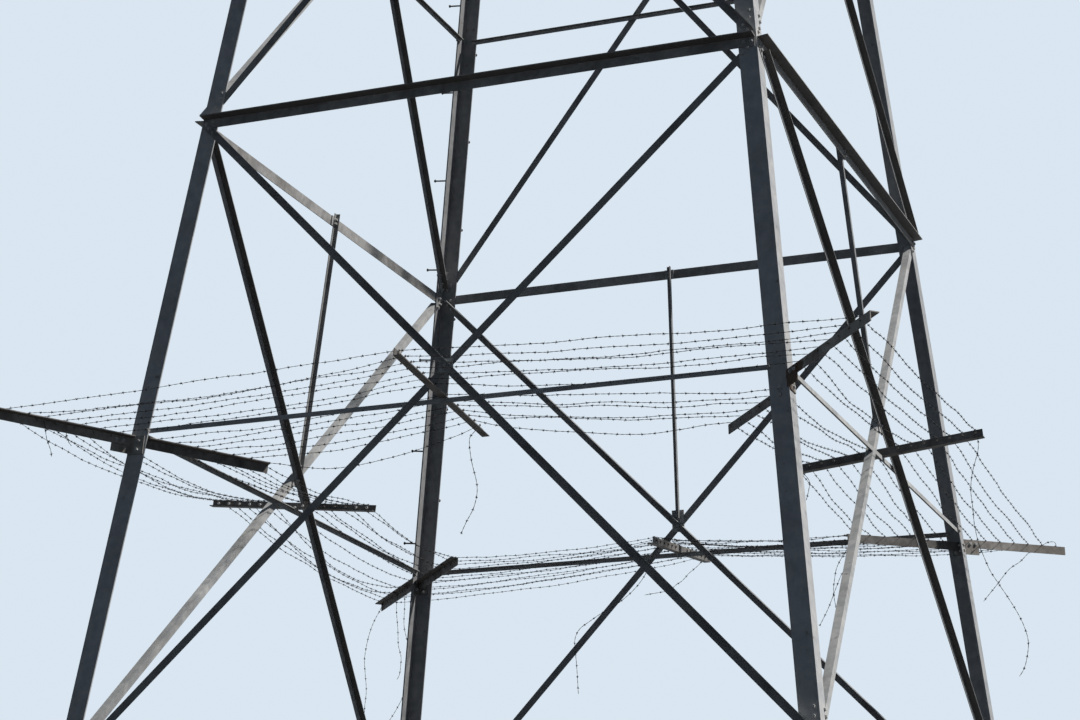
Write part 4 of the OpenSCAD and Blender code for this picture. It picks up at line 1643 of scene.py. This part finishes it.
@dataclass
class InsulatorStrings:
    """Cap and pin insulators under the crossarm ends.

    Outlines are (radius, height) points over the disc's own origin, where pin is measured too.
    socket and stem are heights from the bolt through the arm plate, rod is the depth under the
    row of discs, and stud the height over the clamp's middle.
    """

    tower: Tower
    discs: int = 8
    pitch: float = 0.146
    first: float = 0.150
    inset: float = 0.034
    drop: float = 0.084
    segments: int = 28
    shed_outline: Pairs = (
        (0.0, 0.088), (0.043, 0.088), (0.050, 0.080), (0.078, 0.070), (0.104, 0.057),
        (0.122, 0.043), (0.1265, 0.036), (0.125, 0.031), (0.119, 0.033), (0.108, 0.046),
        (0.101, 0.047), (0.098, 0.030), (0.093, 0.030), (0.088, 0.050), (0.080, 0.051),
        (0.076, 0.028), (0.071, 0.028), (0.066, 0.052), (0.056, 0.053), (0.052, 0.031),
        (0.047, 0.031), (0.040, 0.055), (0.0, 0.056),
    )
    cap_outline: Pairs = (
        (0.0, 0.139), (0.020, 0.139), (0.027, 0.136), (0.030, 0.128), (0.031, 0.118),
        (0.044, 0.108), (0.047, 0.092), (0.047, 0.0865), (0.0, 0.0865),
    )
    pin_r: float = 0.010
    pin: tuple[float, float] = (-0.010, 0.058)
    bolt_r: float = 0.0115
    bolt_half: float = 0.025
    boss_r: float = 0.022
    boss_half: float = 0.005
    strap: tuple[float, float, float] = (0.036, 0.010, 0.090)
    strap_y: float = 0.013
    socket_r: float = 0.020
    socket: tuple[float, float] = (-0.112, -0.080)
    stem: tuple[float, float] = (-0.160, -0.105)
    clamp: tuple[float, float, float] = (0.050, 0.255, 0.058)
    clamp_edge: float = 0.012
    clamp_drop: float = 0.185
    rod_r: float = 0.012
    rod: tuple[float, float] = (0.160, 0.120)
    stud_r: float = 0.011
    stud: tuple[float, float] = (0.029, 0.040)
    studs: Pairs = ((-0.016, -0.08), (0.016, -0.08), (-0.016, 0.08), (0.016, 0.08))

    def spin(self, outline: Pairs) -> BMesh:
        """Spins an outline round z.

        Args:
            outline: its (radius, height) points.

        Returns:
            The closed shell.
        """
        bm = bmesh.new()
        verts = [bm.verts.new((r, 0, z)) for r, z in outline]
        edges = [bm.edges.new(pair) for pair in zip(verts, verts[1:])]
        bmesh.ops.spin(
            bm,
            geom=[*verts, *edges],
            cent=(0, 0, 0),
            axis=(0, 0, 1),
            angle=2 * math.pi,
            steps=self.segments,
            use_merge=True,
        )
        bmesh.ops.remove_doubles(bm, verts=bm.verts, dist=1e-5)
        bmesh.ops.recalc_face_normals(bm, faces=bm.faces)
        return bm

    def shed(self) -> Mesh:
        """Porcelain shed of one disc with three ribs under it, its rim downward."""
        return template_of("shed", self.spin(self.shed_outline))

    def cap(self) -> Mesh:
        """Makes the iron cap over a shed and the pin under it.

        Returns:
            The template, on the shed's own axis.
        """
        bm = self.spin(self.cap_outline)
        prism(bm, 12, self.pin_r, *self.pin)
        return template_of("cap", bm)

    def ends(self, length: float) -> Mesh:
        """Makes the shackle at the head of a string and the clamp at its foot.

        Args:
            length: length of the row of discs.

        Returns:
            The template, hanging from the bolt through the arm plate.
        """
        bm = bmesh.new()
        prism(bm, 16, self.bolt_r, -self.bolt_half, self.bolt_half, place=LAID)
        for y in (-self.strap_y, self.strap_y):
            place = Matrix.Translation((0, y, 0)) @ LAID
            prism(bm, 16, self.boss_r, -self.boss_half, self.boss_half, place=place)
            strap = bmesh.ops.create_cube(bm, size=1.0)["verts"]
            middle = Matrix.Translation((0, y, -self.strap[2] / 2))
            place = middle @ Matrix.Diagonal((*self.strap, 1))
            bmesh.ops.transform(bm, matrix=place, verts=strap)
        prism(bm, 14, self.socket_r, *self.socket)
        prism(bm, 12, self.pin_r, *self.stem)
        foot = Matrix.Translation((0, 0, -length - self.clamp_drop))
        saddle = bmesh.ops.create_cube(bm, size=1.0)["verts"]
        bmesh.ops.transform(bm, matrix=Matrix.Diagonal((*self.clamp, 1)), verts=saddle)
        made = bmesh.ops.bevel(
            bm,
            geom=list(dict.fromkeys(e for v in saddle for e in v.link_edges)),
            offset=self.clamp_edge,
            segments=2,
            profile=0.5,
            affect="EDGES",
            material=-1,
        )
        body = list({*made["verts"], *(v for v in saddle if v.is_valid)})
        bmesh.ops.transform(bm, matrix=foot, verts=body)
        prism(bm, 12, self.rod_r, -length - self.rod[0], -length - self.rod[1])
        for x, y in self.studs:
            prism(bm, 6, self.stud_r, *self.stud, place=foot @ Matrix.Translation((x, y, 0)))
        return template_of("string_ends", bm)

    def build(self) -> tuple[BMesh, BMesh]:
        """Hangs all six strings.

        Returns:
            The porcelain and the ironwork.
        """
        t = self.tower
        shed, cap, ends = self.shed(), self.cap(), self.ends(self.discs * self.pitch)
        porcelain, iron = bmesh.new(), bmesh.new()
        for side in (-1, 1):
            for n, reach in enumerate(t.arm_reach):
                x, z = side * (reach - self.inset), t.waist_z + n * t.arm_pitch - self.drop
                top = Matrix.Translation((x, 0, z))
                stamp(iron, ends, top)
                for k in range(self.discs):
                    at = top @ Matrix.Translation((0, 0, -self.first - (k + 1) * self.pitch))
                    stamp(porcelain, shed, at)
                    stamp(iron, cap, at)
        return porcelain, iron


@dataclass
class Studio:
    """Floor, light and the camera at the photograph's view.

    Angles are in degrees. The sky and the floor show their own colour to the camera and give
    the object the dimmer light that is named beside it.
    """

    eye: tuple[float, float, float] = (7.793, -19.562, 1.563)
    turn: float = -22.574
    pitch: float = 17.535
    roll: float = 0.9855
    lens: float = 84.513
    sensor: float = 36.0
    clip_end: float = 1000.0
    sun_turn: float = 12.0
    sun_height: float = 50.0
    sun_strength: float = 4.4
    sun_angle: float = 2.5
    sun_colour: Rgb = (1.0, 0.97, 0.93)
    sky: Rgb = (0.70, 0.79, 0.88)
    sky_light: Rgb = (0.42, 0.68, 1.0)
    sky_strength: float = 0.064
    floor_radius: float = 260.0
    floor_tone: Rgb = (0.62, 0.66, 0.70)
    floor_light: Rgb = (0.020, 0.026, 0.034)

    def camera(self) -> None:
        """Sets the camera where the photographer stood."""
        turn, pitch, roll = (math.radians(x) for x in (self.turn, self.pitch, self.roll))
        forward = Vector(
            (math.sin(turn) * math.cos(pitch), math.cos(turn) * math.cos(pitch), math.sin(pitch))
        )
        level = forward.cross(Vector((0, 0, 1))).normalized()
        rise = level.cross(forward)
        right = level * math.cos(roll) + rise * math.sin(roll)
        upward = right.cross(forward)
        data = bpy.data.cameras.new("view")
        data.lens = self.lens
        data.sensor_width = self.sensor
        data.clip_end = self.clip_end
        camera = add_object("view", data)
        axes = Matrix((right, upward, -forward)).transposed().to_4x4()
        camera.matrix_world = Matrix.Translation(self.eye) @ axes
        bpy.context.scene.camera = camera

    def lamps(self) -> None:
        """Sets a warm key from the right and a little from the back."""
        data = bpy.data.lights.new("key", "SUN")
        data.energy = self.sun_strength
        data.angle = math.radians(self.sun_angle)
        data.color = self.sun_colour
        key = add_object("key", data)
        turn, height = math.radians(self.sun_turn), math.radians(self.sun_height)
        level = math.cos(height)
        to_sun = Vector((level * math.cos(turn), level * math.sin(turn), math.sin(height)))
        key.rotation_euler = to_sun.to_track_quat("Z", "Y").to_euler()

    def world(self) -> None:
        """Makes the pale background and the dimmer, cooler light that it gives."""
        world = bpy.data.worlds.new("studio")
        bpy.context.scene.world = world
        world.use_nodes = True
        g = Graph(world.node_tree)
        seen = g.seen()
        colour = g.mix(seen, self.sky_light, self.sky)
        strength = g.ramp(seen, 0.0, 1.0, self.sky_strength, 1.0)
        back = g.add("Background", Color=colour, Strength=strength)
        g.add("OutputWorld", Surface=back.outputs[0])

    def floor(self) -> None:
        """Lays a plain pale floor."""
        bm = bmesh.new()
        bmesh.ops.create_circle(bm, cap_ends=True, segments=96, radius=self.floor_radius)
        mesh = template_of("floor", bm)
        material, g, shader = new_material("pale_floor")
        g.feed(shader, Base_Color=g.mix(g.seen(), self.floor_light, self.floor_tone), Roughness=0.9)
        mesh.materials.append(material)
        add_object("floor", mesh)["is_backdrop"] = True


def dress(finishes: dict[str, Material], by_node: dict[str, tuple[str, ...]]) -> None:
    """Gives CAD nodes their finishes.

    Args:
        finishes: materials by name.
        by_node: names of the nodes that take each finish.
    """
    for finish, nodes in by_node.items():
        for node in nodes:
            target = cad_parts[node]
            if not target.material_slots:
                target.data.materials.append(finishes[finish])
            for slot in target.material_slots:
                slot.material = finishes[finish]


FINISHES = (
    Galvanised("leg_zinc", (0.54, 0.54, 0.54), (0.39, 0.40, 0.42), grime=0.35, deposit_and_shade_below=0.2),
    # darker copies of leg_zinc: the next one for leg D, the one after it, darker still, for leg B
    Galvanised("leg_zinc_darker", (0.43, 0.43, 0.43), (0.30, 0.31, 0.325), grime=0.35, deposit_and_shade_below=0.2),
    Galvanised(
        "leg_zinc_darkest",
        (0.32, 0.32, 0.325),
        (0.21, 0.215, 0.225),
        stain=(0.12, 0.115, 0.11),
        grime=0.4,
        deposit_and_shade_below=0.2,
    ),
    Galvanised("brace_zinc", (0.54, 0.54, 0.53), (0.36, 0.37, 0.38), grime=0.50, deposit_and_shade_below=0.9),
    # shaded copy of brace_zinc: painted shade for the bracing of the front and back faces and the
    # hangers
    Galvanised(
        "brace_zinc_shaded", (0.34, 0.34, 0.34), (0.20, 0.205, 0.21), stain=(0.10, 0.095, 0.09), deposit_and_shade_below=0.9
    ),
    Galvanised(
        "girt_zinc",
        (0.45, 0.44, 0.43),
        (0.27, 0.265, 0.26),
        stain=(0.12, 0.11, 0.10),
        deposit_and_shade_below=0.9,
    ),
    Galvanised(
        "guard_zinc",
        (0.43, 0.41, 0.385),
        (0.22, 0.205, 0.19),
        stain=(0.11, 0.095, 0.08),
        grime=0.75,
        deposit_and_shade_below=0.95,
        # a darker patch round the foot of leg C's arms, made wide enough to darken the cleat end
        # under the arm as well
        rust_at=(2.80, -2.80, 6.97),
        rust_radius=0.25,
    ),
    # shaded copy of guard_zinc: painted shade for the inner and mid guard arms
    Galvanised(
        "arm_zinc_shaded",
        (0.26, 0.25, 0.24),
        (0.125, 0.12, 0.115),
        stain=(0.06, 0.055, 0.05),
        grime=0.75,
        deposit_and_shade_below=0.95,
    ),
    Galvanised("bolt_zinc", (0.58, 0.58, 0.57), (0.40, 0.40, 0.40), grime=0.3, deposit_and_shade_below=0.3),
    Galvanised(
        "new_zinc", (0.80, 0.80, 0.79), (0.66, 0.66, 0.66), grime=0.1, deposit_and_shade_below=0.0, metallic=0.2
    ),
    # shaded copy of bolt_zinc: painted shade for the step bolts and the strand hooks
    Galvanised(
        "bolt_zinc_shaded",
        (0.24, 0.225, 0.21),
        (0.12, 0.108, 0.098),
        stain=(0.07, 0.06, 0.052),
        deposit_and_shade_below=0.7,
    ),
    Galvanised("cage_zinc", (0.52, 0.52, 0.52), (0.36, 0.37, 0.38), grime=0.45, deposit_and_shade_below=0.3),
)

NODES_BY_FINISH = {
    "leg_zinc": ("leg_a", "leg_c", "upper_legs", "leg_splices", "feet"),
    # legs D and B take darker copies of leg_zinc
    "leg_zinc_darker": ("leg_d",),
    "leg_zinc_darkest": ("leg_b",),
    "brace_zinc": (
        "right_bracing", "left_bracing", "right_upper_bracing", "left_upper_bracing",
        "crossing_plates", "guard_horizontals", "upper_horizontals",
    ),
    # the front and back bracing and the hangers take the painted-shade copy of brace_zinc
    "brace_zinc_shaded": (
        "front_bracing", "back_bracing", "front_upper_bracing", "back_upper_bracing", "hangers",
    ),
    "girt_zinc": ("girt", "waist_ring"),
    "guard_zinc": ("guard_arms_outer",),
    # the inner and mid arms take the painted-shade copy of guard_zinc
    "arm_zinc_shaded": ("guard_arms_inner", "guard_arms_mid"),
    "cage_zinc": (
        "cage_legs", "cage_front_lacing", "cage_right_lacing", "cage_back_lacing",
        "cage_left_lacing", "cage_rings", "plan_bracing", "crossarms_right", "crossarms_left",
        "crossarm_lacing", "crossarm_struts", "tip_plates", "peak", "peak_lacing", "peak_plate",
    ),
}


def guard_faces(tower: Tower) -> tuple[BarbedFace, ...]:
    """The strands of each side, with how slack each is: the outer seven, then the inner seven.

    Args:
        tower: the tower's shape.

    Returns:
        One set of strands for each face.
    """
    return (
        BarbedFace(
            tower,
            Face.FRONT,
            (0.05, 0.03, 0.04, 0.03, 0.05, 0.07, 0.02, 0.03, 0.04, 0.03, 0.05, 0.04, 0.08, 0.13),
            parted=((-7, 1),),
            loose=(
                LooseEnd(0, -7, (
                    (-3, -5), (-7, -12), (-5, -29), (0, -50), (-2, -66), (-8, -79), (-12, -89),
                )),
            ),
        ),
        BarbedFace(
            tower,
            Face.RIGHT,
            (0.04, 0.07, 0.05, 0.03, 0.04, 0.03, 0.02, 0.05, 0.03, 0.06, 0.04, 0.05, 0.06, 0.04),
            parted=((-7, -1), (7, 1)),
            loose=(
                LooseEnd(0, -7, ((2, -4), (7, -8), (11, -14), (10, -22), (8, -30))),
                LooseEnd(0, 7, (
                    (2, -6), (2, -17), (-3, -35), (-5, -50), (-4, -63), (-3, -79), (0, -95),
                    (4, -106), (8, -116), (14, -126), (21, -137), (28, -149), (33, -160),
                    (36, -172), (35, -183), (32, -194), (27, -202),
                )),
                LooseEnd(1, 7, (
                    (-2, 4), (-9, 3), (-15, -1), (-25, -6), (-34, -15), (-45, -23), (-57, -38),
                    (-70, -54),
                )),
                LooseEnd(1, -7, (
                    (-3, -5), (-7, -12), (-17, -29), (-20, -42), (-21, -53), (-19, -67),
                    (-14, -78),
                )),
                LooseEnd(1, -7, (
                    (2, -11), (-4, -24), (-13, -36), (-19, -50), (-26, -68), (-34, -84),
                )),
            ),
        ),
        BarbedFace(
            tower,
            Face.BACK,
            (0.04, 0.03, 0.05, 0.04, 0.06, 0.05, 0.07, 0.03, 0.04, 0.05, 0.03, 0.06, 0.04, 0.05),
            loose=(
                LooseEnd(1, 7, (
                    (-3, -8), (-8, -18), (-12, -29), (-15, -42), (-17, -58), (-16, -72),
                    (-14, -91), (-15, -107), (-15, -115),
                )),
                LooseEnd(1, 4, (
                    (-1, -10), (-1, -20), (1, -38), (2, -54), (5, -65), (5, -75), (4, -84),
                    (1, -90),
                )),
                LooseEnd(1, 3, (
                    (2, -13), (2, -37), (6, -54), (9, -72), (10, -87), (8, -99), (2, -112),
                    (-4, -124), (-10, -134),
                )),
                LooseEnd(0, -7, (
                    (2, -9), (-3, -18), (-10, -36), (-21, -51), (-37, -65), (-49, -72), (-60, -80),
                    (-69, -87), (-73, -94), (-74, -103), (-72, -121), (-70, -149),
                )),
                LooseEnd(0, 7, (
                    (-11, -12), (-18, -18), (-25, -26), (-32, -31), (-37, -36), (-46, -38),
                    (-62, -41),
                )),
            ),
        ),
        BarbedFace(
            tower,
            Face.LEFT,
            (0.12, 0.20, 0.16, 0.18, 0.14, 0.10, 0.12, 0.05, 0.06, 0.07, 0.05, 0.09, 0.06, 0.08),
            loose=(
                LooseEnd(1, 4.70, ((2, -6), (4, -16), (8, -26), (9, -31))),
                LooseEnd(1, 3.48, ((1, -9), (3, -15), (6, -19))),
            ),
        ),
    )


def main() -> None:
    """Builds the looks in order and reports each piece."""
    logging.basicConfig(level=logging.INFO, format="%(message)s")
    noise.seed_set(SEED)
    bpy.context.scene.view_settings.view_transform = "Standard"
    tower = Tower()
    studio = Studio()
    studio.camera()
    studio.lamps()
    studio.world()
    studio.floor()

    effects = Effects()
    finishes = {made.name: made.make(effects) for made in (*FINISHES, OldWire(), Glaze())}
    dress(finishes, NODES_BY_FINISH)

    big = Fastener()
    small = Fastener(
        shank=0.012,
        across=0.019,
        head_h=0.0075,
        nut_h=0.010,
        washer=0.0125,
        washer_t=0.0025,
        tail=0.006,
    )
    anchor = Fastener(
        shank=0.030,
        across=0.046,
        head_h=0.02,
        nut_h=0.026,
        washer=0.031,
        washer_t=0.005,
        tail=0.045,
    )
    bolts = finishes["bolt_zinc"]
    save_piece("body_bolts", BodyBolts(tower, big).build(), bolts, Slot.BRACE)
    save_piece("guard_bolts", GuardBolts(tower, big).build(), bolts, Slot.GUARD)
    save_piece("cage_bolts", CageBolts(tower, small).build(), bolts, Slot.BRACE)
    # the step bolts take the painted-shade copy of bolt_zinc
    save_piece("step_bolts", StepBolts(tower).build(), finishes["bolt_zinc_shaded"], Slot.LEG)
    save_piece("anchor_nuts", Anchors(tower, anchor).build(), bolts, Slot.LEG)
    dark, pale, bright = StrandHooks(tower).build()
    # the hooks take the painted-shade copy of bolt_zinc
    save_piece("strand_hooks", dark, finishes["bolt_zinc_shaded"], Slot.GUARD)
    save_piece("hook_nuts", pale, finishes["guard_zinc"], Slot.GUARD)
    save_piece("new_hook_nuts", bright, finishes["new_zinc"], Slot.GUARD)
    for side in guard_faces(tower):
        label = side.side.name.lower()
        wires = side.build_wires(label + "_barbed_wire", finishes["old_wire"])
        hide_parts(label + "_strands")
    porcelain, iron = InsulatorStrings(tower).build()
    glaze = finishes["brown_glaze"]
    sheds = save_piece("insulator_sheds", porcelain, glaze, Slot.PORCELAIN, smooth=True)
    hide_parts("insulators_right", "insulators_left")
    save_piece("insulator_ironwork", iron, bolts, Slot.BRACE, smooth=True)

    boxes = {"cad": cad_box, "visual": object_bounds()}
    {name: [list(corner) for corner in box] for name, box in boxes.items()}


if __name__ == "__main__":
    main()
